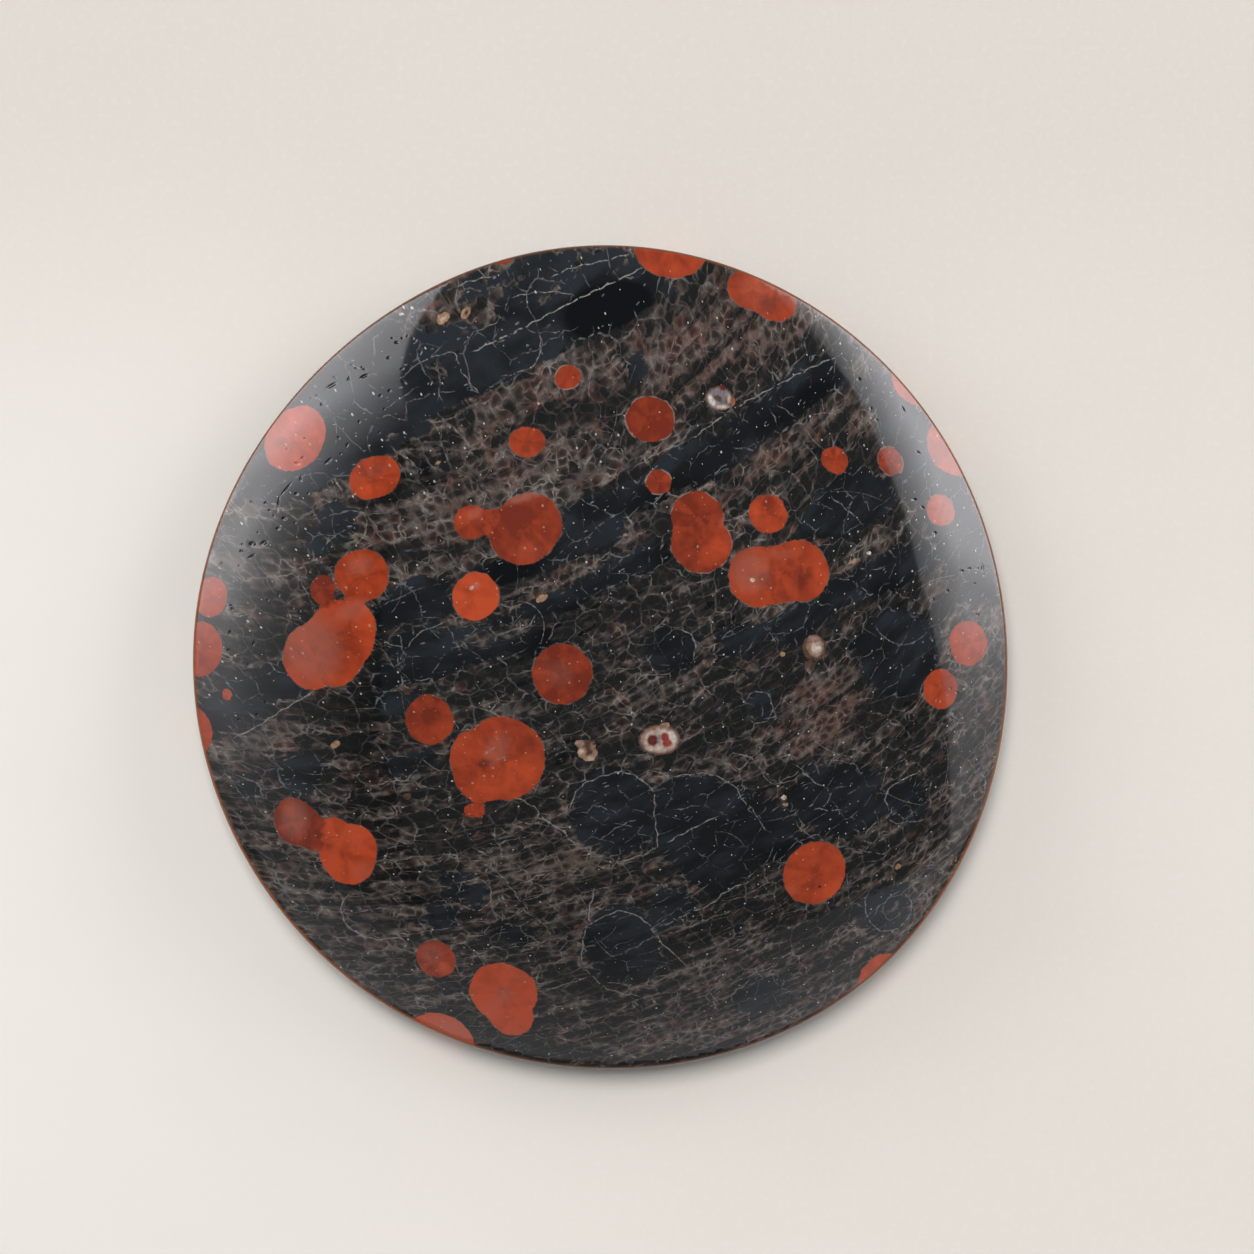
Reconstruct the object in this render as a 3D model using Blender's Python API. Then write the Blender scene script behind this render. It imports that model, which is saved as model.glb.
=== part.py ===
"""Polished round cabochon of peanut obsidian, one piece of stone: a low dome on a thin girdle, with a flat back.

The stone lies on its flat back. The origin is the centre of the back, +Z points out of the dome,
and +Y is the side of the stone that is uppermost when it is shown face on.
"""

import math

import bmesh
import bpy

MM = 0.001

# Driving dimensions of the stone
DIAMETER = 40.0 * MM
THICKNESS = 7.8 * MM
GIRDLE_TOP = 1.7 * MM
GIRDLE_TAPER = 0.12 * MM
RIM_ROUND = 0.25 * MM
BACK_BEVEL = 0.4 * MM

# The stone was ground by eye, so its outline swells and flattens a little as it goes round.
# Each entry is one swell: waves round the outline, height, and the angle of one crest from +X in degrees.
OUTLINE_SWELLS = [
    (2, 0.12 * MM, 103.0),
    (3, 0.16 * MM, 74.0),
    (5, 0.04 * MM, 25.0),
]

# How finely the faceted solid follows the round shape
SIDES = 120
DOME_RINGS = 26
RIM_RINGS = 4

STONE_COLOUR = (0.012, 0.013, 0.015, 1.0)
STONE_ROUGHNESS = 0.06


def clear_scene():
    for old in list(bpy.data.objects):
        bpy.data.objects.remove(old, do_unlink=True)


def outline_radius(angle):
    """Radius of the widest line of the stone at an angle from +X, in radians."""
    radius = DIAMETER / 2
    for waves, height, crest in OUTLINE_SWELLS:
        radius += height * math.cos(waves * (angle - math.radians(crest)))
    return radius


def outline():
    """The widest line of the stone as (x, y) points, moved so that its bounding box is centred on the origin."""
    points = []
    for side in range(SIDES):
        angle = 2 * math.pi * side / SIDES
        radius = outline_radius(angle)
        points.append((radius * math.cos(angle), radius * math.sin(angle)))
    xs, ys = zip(*points)
    middle_x = (min(xs) + max(xs)) / 2
    middle_y = (min(ys) + max(ys)) / 2
    return [(x - middle_x, y - middle_y) for x, y in points]


def cap_slope(reach, rise):
    """Slope at the edge of a cap of a sphere with this radius across and this height, in radians."""
    return 2 * math.atan2(rise, reach)


def section():
    """Half of the cross-section, from the edge of the flat back up to the crown, without the crown itself.

    Each entry is (inset, share, z): the ring at height z is the outline drawn in by inset, then shrunk to share.
    """
    rings = [
        (BACK_BEVEL, 1.0, 0.0),
        (0.0, 1.0, BACK_BEVEL),
    ]

    # The rim is an arc that turns from the leaning girdle to the slope of the dome.
    girdle_lean = math.atan2(GIRDLE_TAPER, GIRDLE_TOP - BACK_BEVEL)
    slope = cap_slope(DIAMETER / 2 - GIRDLE_TAPER, THICKNESS - GIRDLE_TOP)
    for step in range(RIM_RINGS + 1):
        tilt = girdle_lean + step / RIM_RINGS * (math.pi / 2 - slope - girdle_lean)
        inset = GIRDLE_TAPER + RIM_ROUND * (math.cos(girdle_lean) - math.cos(tilt))
        z = GIRDLE_TOP + RIM_ROUND * (math.sin(tilt) - math.sin(girdle_lean))
        rings.append((inset, 1.0, z))

    # The dome is a cap of a sphere, from the end of the rim's arc to the crown.
    rim_inset, _, rim_z = rings[-1]
    reach = DIAMETER / 2 - rim_inset
    widest = cap_slope(reach, THICKNESS - rim_z)
    cap_radius = reach / math.sin(widest)
    for step in range(1, DOME_RINGS):
        angle = widest * (1 - step / DOME_RINGS)
        z = THICKNESS - cap_radius * (1 - math.cos(angle))
        rings.append((rim_inset, math.sin(angle) / math.sin(widest), z))
    return rings


def ring_points(edge, inset, share, z):
    """The outline drawn in by inset towards the axis, then shrunk to share, at height z."""
    points = []
    for x, y in edge:
        reach = math.hypot(x, y)
        scale = (reach - inset) / reach * share
        points.append((x * scale, y * scale, z))
    return points


def make_stone():
    mesh = bpy.data.meshes.new("cabochon")
    bm = bmesh.new()
    edge = outline()
    rings = []
    for inset, share, z in section():
        rings.append([bm.verts.new(point) for point in ring_points(edge, inset, share, z)])

    bm.faces.new(reversed(rings[0]))
    for lower, upper in zip(rings, rings[1:]):
        for side in range(SIDES):
            following = (side + 1) % SIDES
            bm.faces.new((lower[side], lower[following], upper[following], upper[side]))
    crown = bm.verts.new((0.0, 0.0, THICKNESS))
    for side in range(SIDES):
        bm.faces.new((rings[-1][side], rings[-1][(side + 1) % SIDES], crown))

    bm.to_mesh(mesh)
    bm.free()
    mesh.shade_smooth()
    mesh.set_sharp_from_angle(angle=math.radians(30))
    stone = bpy.data.objects.new("cabochon", mesh)
    bpy.context.scene.collection.objects.link(stone)
    return stone


def stone_material():
    material = bpy.data.materials.new("polished_obsidian")
    material.use_nodes = True
    shader = material.node_tree.nodes["Principled BSDF"]
    shader.inputs["Base Color"].default_value = STONE_COLOUR
    shader.inputs["Roughness"].default_value = STONE_ROUGHNESS
    shader.inputs["Metallic"].default_value = 0.0
    return material


def main():
    clear_scene()
    stone = make_stone()
    stone.data.materials.append(stone_material())


main()
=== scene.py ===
"""Looks of a round peanut obsidian cabochon: dark glass with red spherulites, brown crackle and pale cracks.

The stone is one closed mesh that stands for the CAD solid. Its markings are given in millimetres
from the centre of the stone, x to the right and y up, as the camera above sees them against its widest line.
"""

import math
import random

import bmesh
import bpy
import numpy as np
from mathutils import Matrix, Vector
from mathutils.geometry import delaunay_2d_cdt


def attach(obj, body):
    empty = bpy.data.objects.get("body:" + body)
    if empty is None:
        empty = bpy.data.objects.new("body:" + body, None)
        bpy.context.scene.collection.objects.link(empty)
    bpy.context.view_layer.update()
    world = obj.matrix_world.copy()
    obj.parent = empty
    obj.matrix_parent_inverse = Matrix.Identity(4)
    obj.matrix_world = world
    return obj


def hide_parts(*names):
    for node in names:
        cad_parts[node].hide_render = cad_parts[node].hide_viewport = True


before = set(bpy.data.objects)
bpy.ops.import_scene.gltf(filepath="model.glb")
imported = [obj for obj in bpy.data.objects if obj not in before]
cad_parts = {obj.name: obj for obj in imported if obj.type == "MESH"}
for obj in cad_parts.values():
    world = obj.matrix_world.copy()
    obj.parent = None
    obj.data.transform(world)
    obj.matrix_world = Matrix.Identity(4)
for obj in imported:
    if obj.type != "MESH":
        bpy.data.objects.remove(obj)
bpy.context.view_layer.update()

MM = 0.001
FULL_TURN = 2 * math.pi
# More than any distance on the stone, in millimetres
FAR = 1e9

# Driving dimensions of the stone, in millimetres, as in the solid that it stands for
DIAMETER = 40.0
THICKNESS = 7.8
GIRDLE_TOP = 1.7
GIRDLE_TAPER = 0.12
RIM_ROUND = 0.25
BACK_BEVEL = 0.4
OUTLINE_SWELLS = [(2, 0.12, 103.0), (3, 0.16, 74.0), (5, 0.04, 25.0)]
OUTLINE_SIDES = 120

# The camera looks straight down. Its frame is measured at the height of the widest line
FRAME_WIDTH = 61.34
FRAME_OFFSET = (1.16, 1.59)
LENS = 100.0
SENSOR = 36.0
EYE_HEIGHT = FRAME_WIDTH * LENS / SENSOR

# Fineness of the mesh
EDGE_SIDES = 720
RIM_RINGS = 8
GIRDLE_RINGS = 5
DOME_SPACING = 0.24
BACK_SPACING = 0.45
CRACK_STEP = 0.2
# Least distance between vertices at a crack, and from the crack's middle to its sides
CRACK_GAP = 0.045
CRACK_HALF_WIDTH = 0.06

# Rounding between the lobes of a spherulite, and height of the faint waves that hand polishing leaves
LOBE_FILLET = 0.15
POLISH_WAVE = 0.0016

# Direction of the flow bands, and how far the pattern shifts for each millimetre down the side of the stone
FLOW_ANGLE = math.radians(25.0)
DIP = (0.45, -0.8)

# Red spherulites: lobes as (x, y, radius), tone from 0 dull to 1 bright, strength of the pale ring.
# The tones of those on the lower side are raised as painted light, where the lamp lights the dome less
SPHERULITES = [
    ([(3.3, 20.1, 1.8)], 0.4, 0.2), ([(7.3, 18.1, 1.25), (8.35, 17.5, 1.15)], 0.35, 0.2),
    ([(-1.75, 13.8, 0.64)], 0.25, 0.7), ([(2.3, 11.75, 1.2)], 0.02, 0.6),
    ([(-3.85, 10.65, 0.78), (-3.6, 10.65, 0.76)], 0.4, 0.2),
    ([(-11.4, 8.85, 1.1), (-10.95, 8.95, 1.05)], 0.5, 0.1), ([(-15.1, 10.8, 1.72)], 0.65, 0),
    ([(2.72, 8.68, 0.65)], 0.2, 0.7), ([(4.6, 6.98, 1.27), (4.78, 5.72, 1.5)], 0.2, 0.5),
    ([(8.05, 7.15, 0.98)], 0.5, 0.1), ([(7.6, 4.05, 1.5), (8.6, 4.2, 1.45), (9.6, 4.35, 1.52)], 0.42, 0.3),
    ([(11.35, 9.75, 0.7)], 0.35, 0.1), ([(14.05, 9.72, 0.72)], 0.2, 0.6), ([(15.25, 13.6, 1.3)], 0.4, 0),
    ([(17.1, 10.4, 1.5)], 0.4, 0), ([(16.5, 7.3, 0.82)], 0.45, 0.1), ([(17.85, 0.8, 1.12)], 0.5, 0.1),
    ([(16.5, -1.45, 0.98)], 0.6, 0.1), ([(-3.65, 6.55, 1.65), (-4, 6.2, 1.6)], 0.18, 0.4),
    ([(-6.45, 6.7, 0.86), (-5.7, 6.75, 0.62), (-5.2, 6.8, 0.5)], 0.25, 0.1),
    ([(-6.25, 3.1, 1.18)], 0.9, 0.2), ([(-11.7, 4.1, 1.3), (-12.2, 4.2, 1.05)], 0.45, 0.2),
    ([(-13.75, 3.45, 0.68), (-13.5, 2.95, 0.42)], 0.05, 0),
    ([(-12.5, 1.4, 1.52), (-12.85, 1.15, 1.78), (-13.3, 0.5, 1.85), (-14.25, 0.15, 1.62)], 0.55, 0.3),
    ([(-19.2, 3.05, 1)], 0.5, 0), ([(-19.7, 0.5, 1.35)], 0.45, 0), ([(-20.1, -3.5, 1.25)], 0.5, 0),
    ([(-18.4, -1.7, 0.3)], 0.5, 0), ([(-2, -0.7, 1.48)], 0.1, 0.3), ([(-8.5, -2.95, 1.22)], 0.25, 0.1),
    ([(-4.9, -4.85, 2.07), (-5.95, -5.55, 1.45), (-6.2, -4.75, 1.33)], 0.5, 0.3),
    ([(-6.52, -7.42, 0.33), (-6.12, -7.38, 0.33)], 0.5, 0),
    ([(-15.05, -7.95, 1.22), (-14.3, -8.4, 1)], 0.1, 0.3),
    ([(-13.1, -8.65, 0.98), (-12.55, -9.55, 1.52), (-12.1, -9.1, 1.12)], 0.8, 0.1),
    ([(-8.2, -14.65, 1.02)], 0.3, 0.1), ([(-4.9, -16.3, 1.68), (-4.5, -17.5, 1.1)], 0.9, 0.1),
    ([(-8, -18.7, 1.75)], 1, 0.1), ([(10.35, -10.45, 1.62)], 0.58, 0.2), ([(4, -20.3, 0.9)], 0.3, 0),
    ([(13.7, -15.55, 1.35)], 0.75, 0), ([(-8.3, 18.6, 0.5)], 0.5, 0), ([(-4.9, 19.7, 0.5)], 0.3, 0),
    ([(2.4, -3.9, 0.29)], -0.3, 0), ([(3.1, -3.95, 0.31)], -0.3, 0),
]
BACK_SPHERULITES = 26
BACK_RADII = [0.7, 0.9, 1.2, 1.3, 1.6, 1.9]
BACK_REACH = 19.5

# Uneven places inside the spherulites, as ellipses:
# (x, y, half width, half height, tilt in degrees, change of tone, amount of pinkish haze)
# Part of the haze is painted reflection of the soft boxes and the floor, as on the first two rows, and the
# first row also lifts the tone as painted light
SHADES = [
    (-7.6, -18.3, 1.5, 1, 0, 0.3, 0.35), (7.6, 17.9, 1.3, 0.9, -30, 0, 0.12),
    (-14.3, 0.6, 1.5, 1.9, 20, -0.08, 0.35), (-12.9, 0.4, 0.9, 1.3, 0, -0.25, 0),
    (-11.4, 1, 0.5, 1.6, 10, 0.25, 0), (-12.2, 2.4, 1.1, 0.5, 20, 0.1, 0.25),
    (4.5, 7.1, 1.1, 0.9, 0, -0.08, 0), (5.5, 5.3, 1.2, 0.6, 30, 0.45, 0), (4.2, 6, 0.7, 0.3, 30, -0.15, 0),
    (3.42, 6.95, 0.16, 0.2, 0, -0.9, 0), (5.9, 6.7, 0.25, 0.3, 0, 0.3, 0.2),
    (8.1, 7.6, 0.35, 0.6, 0, -0.35, 0), (7.6, 7.1, 0.4, 0.7, 0, 0.2, 0), (7.2, 4.3, 1, 1.1, 0, 0.1, 0.3),
    (7.95, 3.9, 0.5, 0.45, 0, -0.35, 0), (9.75, 4, 0.6, 0.6, 0, -0.3, 0), (10.6, 4.2, 0.4, 1, 0, 0.2, 0),
    (8.7, 5.2, 0.8, 0.3, 0, 0.1, 0.15), (-5.85, -5.1, 0.34, 0.24, 10, -0.6, 0),
    (-5.2, -4.4, 0.9, 0.6, 60, 0, 0.25), (-4, -5.4, 1, 0.7, 30, 0.25, 0),
    (-5.3, -6.2, 1.2, 0.4, 10, 0.2, 0), (-3.9, -4, 0.5, 0.6, 0, -0.2, 0),
    (-2.1, -0.7, 0.7, 0.7, 0, -0.1, 0.15), (-3, -0.4, 0.4, 0.9, 0, 0.1, 0.05),
    (-4.2, 6.9, 0.9, 0.5, 10, -0.25, 0), (-3.9, 7.95, 1.1, 0.22, 14, 0.1, 0.45),
    (-3.6, 5.3, 0.8, 0.5, 0, 0.2, 0.05), (-2.5, 6.7, 0.4, 0.9, 0, 0.12, 0),
    (-6.3, 7.15, 0.5, 0.3, 30, 0.3, 0.25), (-6.9, 6.9, 0.4, 0.5, 0, 0.15, 0),
    (11.3, -11.2, 0.9, 0.35, 45, 0.4, 0), (10.5, -10.7, 0.5, 0.6, 0, -0.15, 0),
    (9.3, -11.3, 0.4, 0.3, 0, 0.25, 0.1), (-15.1, -7.8, 0.7, 1, 0, 0.1, 0.35),
    (-14, -7.9, 0.45, 0.9, -25, -0.05, 0), (-12, -8.6, 0.9, 0.7, 0, 0.2, 0.05),
    (-12.6, -9.5, 0.35, 0.3, 0, -0.25, 0), (-13.5, -9.1, 0.3, 0.25, 0, -0.35, 0),
    (-11.7, -10.4, 0.7, 0.5, 0, 0.1, 0.15), (-13.4, -10.1, 0.5, 0.5, 0, 0.15, 0),
    (-4.85, -16.4, 0.5, 0.5, 0, -0.15, 0.2), (-5.5, -17.1, 0.5, 0.5, 0, 0.3, 0.1),
    (-4.3, -15.4, 0.9, 0.4, -20, -0.1, 0.1), (-4, -17.4, 0.4, 0.7, 0, 0.12, 0),
    (-8.4, -2.85, 0.5, 0.45, 0, -0.35, 0), (-8.9, -2.2, 0.6, 0.35, 20, 0.15, 0),
    (-7.8, -3.6, 0.4, 0.5, 0, 0.12, 0), (-6.6, 3.3, 0.45, 0.35, 0, -0.2, 0),
    (-6.2, 3.6, 0.2, 0.15, 0, 0.2, 0.5), (-5.7, 2.6, 0.5, 0.6, 0, 0.15, 0),
    (-8.4, -14.4, 0.6, 0.6, 0, 0, 0.2), (-7.8, -15.1, 0.35, 0.25, -20, 0.5, 0.1),
    (-11.9, 4.6, 0.7, 0.5, 20, 0.1, 0.25), (-11.4, 3.5, 0.7, 0.35, 0, 0.15, 0),
    (-11.2, 9.2, 0.8, 0.35, 20, -0.15, 0.1), (-11.6, 8.3, 0.7, 0.3, 10, 0.2, 0),
    (7.6, 18.3, 0.9, 0.4, -20, 0.25, 0.05), (8.2, 17.3, 0.6, 0.5, 0, -0.3, 0),
    (3.3, 19.1, 0.9, 0.3, 0, 0.15, 0), (-3.7, 10.5, 0.3, 0.4, 0, -0.2, 0),
    (16.9, -1.4, 0.35, 0.8, 0, -0.15, 0.05),
]

# Dark glass: ellipses as (x, y, half width, half height, tilt in degrees)
GLASS_LENSES = [
    (0.1, 17, 1.4, 0.75, 15), (1.7, 17.8, 1.2, 0.45, 5), (1.75, 14.2, 0.65, 0.8, 0),
    (-8.6, 0.3, 1.3, 1.3, 0), (0.5, -7.5, 2.1, 2.1, 0), (4.6, -7.8, 2.3, 2.2, 0), (11.5, -6.8, 2.4, 1.8, 0),
    (1, -13.9, 1.9, 1.9, 0), (3.2, -12.2, 1.2, 0.8, 20), (-7.2, -10.8, 0.7, 0.5, 20),
    (-8, -12.5, 0.8, 0.6, 0), (-6.4, -11.5, 0.6, 0.6, 0), (-4.3, -13.5, 0.8, 0.5, 0),
    (7.6, -16.5, 1.5, 0.8, 20), (13.8, -12.2, 1.6, 1.1, 30), (3.4, 0.4, 1.15, 1.15, 0),
    (6.7, 1, 1.3, 0.6, 20), (7.7, -2.3, 0.75, 0.75, 0), (14.4, 0.4, 2, 2.1, 0), (14.7, -6.8, 1.1, 1, 0),
    (-13, 6.7, 1, 1, 0), (-14, 5.7, 0.6, 0.6, 0), (-14.8, -5.5, 1.1, 1.05, 0), (-17.3, -6.3, 0.5, 0.5, 0),
    (-10.2, -2.2, 0.9, 0.6, 0),
]
# Crackle inside the dark glass, in the same way
CRACKLE_LENSES = [
    (-8.2, 17.1, 1.4, 0.6, 30), (-6.2, 16.9, 1.2, 0.55, 5), (-7.6, 18.45, 2.6, 0.3, 25),
    (-5.2, 19.3, 1.6, 0.3, 15), (-8.1, 14, 0.45, 0.5, 0), (-9.6, 16.5, 0.4, 0.8, 0),
    (-0.6, 8.6, 1.3, 0.35, 20),
]
# Dark glass: flow bands as (half width, points along the middle)
GLASS_BANDS = [
    (0.95, [(3.4, 9.35), (4.9, 9.85), (6.5, 10.9), (8.45, 12.3), (9.6, 13.3), (11, 14.2)]),
    (0.75, [(8.9, 1.5), (11.5, 3.1), (13.9, 4.5), (15.5, 5.1)]),
    (0.45, [(-10, 0.6), (-7, 1.2), (-4.2, 2.2), (-2, 2.9), (0, 3.9), (2.6, 5.2)]),
    (0.5, [(-5.9, 4.1), (-3.5, 4.8), (-1, 5.8), (0.8, 7.2), (3, 8.9)]),
    (0.45, [(-10.8, -1), (-8, 0), (-5, 0.6), (-3, 0.9)]), (0.35, [(-10.5, -5.2), (-8.5, -4.6)]),
    (0.95, [(-19.3, -2.9), (-17.8, -1.9), (-16.2, -1.3), (-14.6, -0.6)]),
]
# Dark glass: areas by their outline
GLASS_AREAS = [
    [(-11, 9.9), (-10.3, 10.2), (-8.6, 11.2), (-8, 12.1), (-5.9, 12.9), (-4, 14), (-2.5, 14.9), (-0.8, 16),
     (0.5, 16.3), (2, 17.2), (3.2, 18.1), (2.5, 19.9), (-4, 20.2), (-10, 17.8), (-15, 13.6), (-17.8, 9),
     (-16.8, 7.3), (-14.5, 8)],
    [(-1.8, 7.6), (0.2, 8.3), (2, 8.8), (2.9, 8), (1, 6.9), (0.8, 5.2), (-0.4, 5), (-1.9, 6)],
    [(9.5, 6.6), (10.5, 8.2), (12, 9.2), (14, 9), (14.4, 7.5), (13.2, 6.9), (11.5, 5.9)],
    [(-11.2, 2.6), (-9, 4.2), (-7.6, 3.8), (-7.4, 2.3), (-8.8, 1.8), (-11.2, 1.2)],
    [(2.8, -6.5), (6.5, -6), (10, -8.5), (8, -10), (5.5, -11.6), (3.8, -10.5), (2.9, -8.5)],
    [(12.6, 13.6), (13.6, 14.2), (15.6, 12), (17.4, 9.2), (19, 6), (19.4, 2.8), (17.6, 2.8), (16.4, 5.4),
     (14.9, 8.4), (13.6, 11)],
]

# Warm crackle: how red or tan it is, 1 pinkish red or -1 tan, then its places as ellipses
WARM_PATCHES = [
    (0.8, [(10.8, -2.6, 2.4, 1.6, 25)]),
    (0.7, [(5.5, 15.5, 4.5, 2.4, 30)]),
    (0.5, [(-3.2, 3.6, 2.4, 0.9, 25), (10.5, 10.6, 3.6, 1.4, 25)]),
    (0.4, [(-3.5, 11.2, 5.5, 2.2, 25), (-15, -3.6, 2.4, 1.5, 25)]),
    (0.3, [(-7.5, 7, 2.6, 1.2, 20)]),
    (-0.2, [(6, -14.4, 2.6, 1, 20)]),
    (-0.6, [(-7.2, 16.9, 2.4, 1, 15)]),
    (-0.8, [(-2, -10.6, 2.4, 1.6, 10)]),
]

# Places paler, up to 1, or darker, down to -1, than usual, in the same way. Their sum is held to these
# limits.
# Some are the stone's own tone, others painted light: painted reflection of the soft boxes and the floor
# near the rim, and a painted lift of the lower side, which the lamp lights less
PALE_PATCHES_AND_PAINTED_LIGHT = [
    (0.8, [
        (13.2, 5.4, 0.8, 0.4, 25), (-1, -9.4, 0.8, 0.8, 0), (2.6, -12.8, 0.7, 0.5, 0),
        (2.6, 14.8, 1.2, 1, 0), (-5.7, 7.5, 0.8, 0.5, 20), (-1, 8.9, 1.8, 0.6, 20), (-4.3, -2.9, 1, 0.5, 0),
        (-16, -12, 1.4, 0.9, -40), (-2.2, -10.2, 1.4, 0.6, 10), (-17.9, -9.6, 0.9, 1.6, 25),
        (2.5, 1.7, 1.6, 0.5, 10), (19.3, -3, 0.6, 1.4, 0),
    ]),
    (0.7, [
        (-15.2, -3.2, 1.6, 0.7, 25), (-18.3, -4.4, 1.2, 0.7, 25), (8, 2.6, 0.8, 0.6, 0),
        (15, -11.5, 1.2, 1.4, -30), (-6.8, 6, 0.8, 0.5, 0),
    ]),
    (0.6, [
        (-5, 9.2, 3.5, 1.2, 25), (-2.2, 13.8, 1.2, 0.5, 20), (2.4, 10.7, 0.9, 0.5, 0),
        (5.8, 7.3, 0.8, 0.8, 0), (-5.5, -10.5, 1.6, 1, 25), (-10.2, -11, 1.4, 1, 25),
        (-6.6, 1.5, 0.8, 0.7, 0), (-14.2, -9.6, 1, 0.6, 0), (1.3, 5.6, 0.7, 0.6, 0),
        (-11.3, 2.9, 0.7, 0.5, 0), (-14, -7.4, 1.4, 0.8, 0), (0, 20, 1.4, 0.6, 0), (-2, 7.2, 0.7, 0.6, 0),
        (7.4, 7.5, 1.2, 0.6, 20), (-8.6, -11.8, 1.2, 0.7, 0),
    ]),
    (0.5, [
        (-8.5, 7, 1.6, 0.7, 0), (8.2, 9.9, 1, 0.6, 25), (10.8, -2.2, 1.2, 1.8, 0), (10.2, -4.2, 1, 0.6, 0),
        (0.8, 1.8, 0.8, 0.5, 0), (5.3, -5.2, 0.9, 0.4, 30), (6.5, -17.6, 3, 0.8, 15),
        (16.4, -10.6, 1, 2, -30), (-19, 4.2, 0.8, 2, 0), (-3, 19, 5, 1.2, 10), (-15.2, -6.2, 1, 0.8, 0),
        (-12.8, 6.2, 1.6, 1.8, 0), (13.3, -13, 1.4, 1.4, 0), (-5.5, 12, 0.8, 0.8, 0),
        (3.2, -1.8, 0.9, 0.5, 20), (-8.7, -1.9, 1.2, 0.5, 10), (0.5, -13, 1.6, 1, 0),
        (11, -2.4, 1.2, 1.2, 0), (6, 16, 2.4, 1.2, 20), (-9.5, 10.4, 1.6, 0.6, 25),
        (-7.4, 15.8, 1.2, 0.8, 0), (7.2, -0.6, 0.8, 0.8, 0),
    ]),
    (0.4, [(4.8, 1.2, 0.9, 0.6, 0), (7, -14.6, 2.4, 0.8, 25), (8.5, -0.3, 0.5, 0.4, 0)]),
    (0.3, [(-9.8, -6.7, 1.6, 0.7, 20), (-6, 15.5, 5, 2.6, 20)]),
    (0.2, [(6, 15.7, 3.6, 1.6, 30)]),
    (-0.1, [(-13.2, -4, 1.8, 1.2, 25)]),
    (-0.2, [(-8, 8.9, 2.6, 1.2, 25), (-7.6, 10.6, 1.4, 0.5, 20), (0, -16.8, 2.4, 0.8, 10)]),
    (-0.3, [(-5.5, -13.5, 1, 0.7, 0)]),
    (-0.4, [
        (6.6, -9, 1.6, 0.9, 0), (-9, 8.6, 1, 0.5, 20), (2, 1.2, 1.4, 0.8, 20), (-3.6, -8.2, 0.6, 0.8, 0),
        (6.6, 0.1, 1.3, 0.6, 20), (15.4, -2.8, 0.8, 1, 0),
    ]),
    (-0.5, [
        (-15, 6.8, 0.8, 0.9, 0), (-4.5, -18.6, 3, 0.8, -10), (-11, -10.2, 1.2, 0.5, 0),
        (9, -12, 1.6, 0.7, 20), (-1.2, -3.4, 1.2, 1, 0), (-7, -1.1, 1.2, 0.5, 25),
        (-15.5, -6.3, 1.4, 0.8, 0), (14, -9.5, 1.4, 1, 0), (8.3, -1.3, 0.7, 0.5, 0),
        (9.8, -13, 1.2, 0.6, 25), (8.6, 6.3, 1, 0.5, 0), (4.2, 0.1, 1.4, 0.7, 0),
        (-2.2, -5.4, 1.8, 0.7, 10), (-6.4, -17.6, 1.6, 0.8, 0),
    ]),
    (-0.6, [
        (1.6, 3.2, 1.2, 0.6, 25), (-12.9, -2.3, 1.8, 0.9, 20), (11.3, 1, 1.6, 1.2, 30),
        (-8.3, -5.8, 1.4, 0.6, 10), (8.6, -6.2, 1.2, 0.7, 0), (6.5, 13.8, 1.6, 0.8, 25),
        (0, 12.5, 1.6, 0.5, 20), (-2.2, -5, 1.4, 0.9, 20), (1, -4.2, 0.8, 1, 0), (0.2, 1.2, 1.8, 0.9, 10),
        (6.2, -12, 1.2, 1, 0), (6, 2.2, 1, 1, 0), (-8.3, 9, 0.9, 0.6, 0), (1, 11.5, 0.9, 0.8, 0),
        (8.2, 11.3, 1, 0.8, 0), (11.6, 10.8, 0.9, 0.9, 0), (9.3, 15.2, 0.8, 0.8, 0),
        (-7.4, 2.4, 0.8, 0.6, 0), (-17.6, -3.2, 1, 0.7, 0), (14.9, -4.4, 0.8, 1.4, 0),
    ]),
    (-0.7, [
        (-11.2, 0.5, 0.8, 0.8, 0), (5.6, 12.5, 1.8, 0.7, 20), (-3.2, 11, 0.9, 0.9, 0),
        (4.8, 2.4, 2, 0.8, 20), (14, 3.2, 1.2, 0.8, 0), (10.6, 5.6, 1, 0.6, 0), (-3.8, 0, 1.8, 0.6, 25),
        (-8, -7.7, 2, 0.9, 20), (3.3, 5.2, 0.9, 1, 0), (10.5, 9.4, 1.5, 0.9, 0), (3.2, 8, 2.2, 0.8, 25),
        (-6, -2.2, 1.2, 0.7, 20), (-8.6, -9.8, 2.2, 0.5, 10),
    ]),
    (-0.8, [(9.4, -9.3, 1.2, 0.5, 20), (13.7, -2.6, 1.4, 0.8, 25), (6, 4.8, 0.8, 0.9, 0)]),
    (-0.9, [
        (-1.5, 1.9, 1.6, 0.8, 20), (-4.5, 4.4, 1.6, 1, 30), (10.3, 12.9, 1.2, 0.6, 30),
        (-3.3, -1.6, 0.8, 0.7, 0),
    ]),
    (-2.4, [(0.2, 17.1, 1.7, 1.05, 15)]),
]

# Amber light in the thin edge: direction in degrees from +X and strength
RIM_AMBER = [
    (0, 0.5), (30, 0.6), (60, 0.5), (80, 0.3), (100, 0.2), (120, 0.35), (150, 0.5), (180, 0.7), (210, 1),
    (240, 1), (262, 0.3), (280, 0.15), (300, 0.4), (330, 0.9), (360, 0.5),
]

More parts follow.
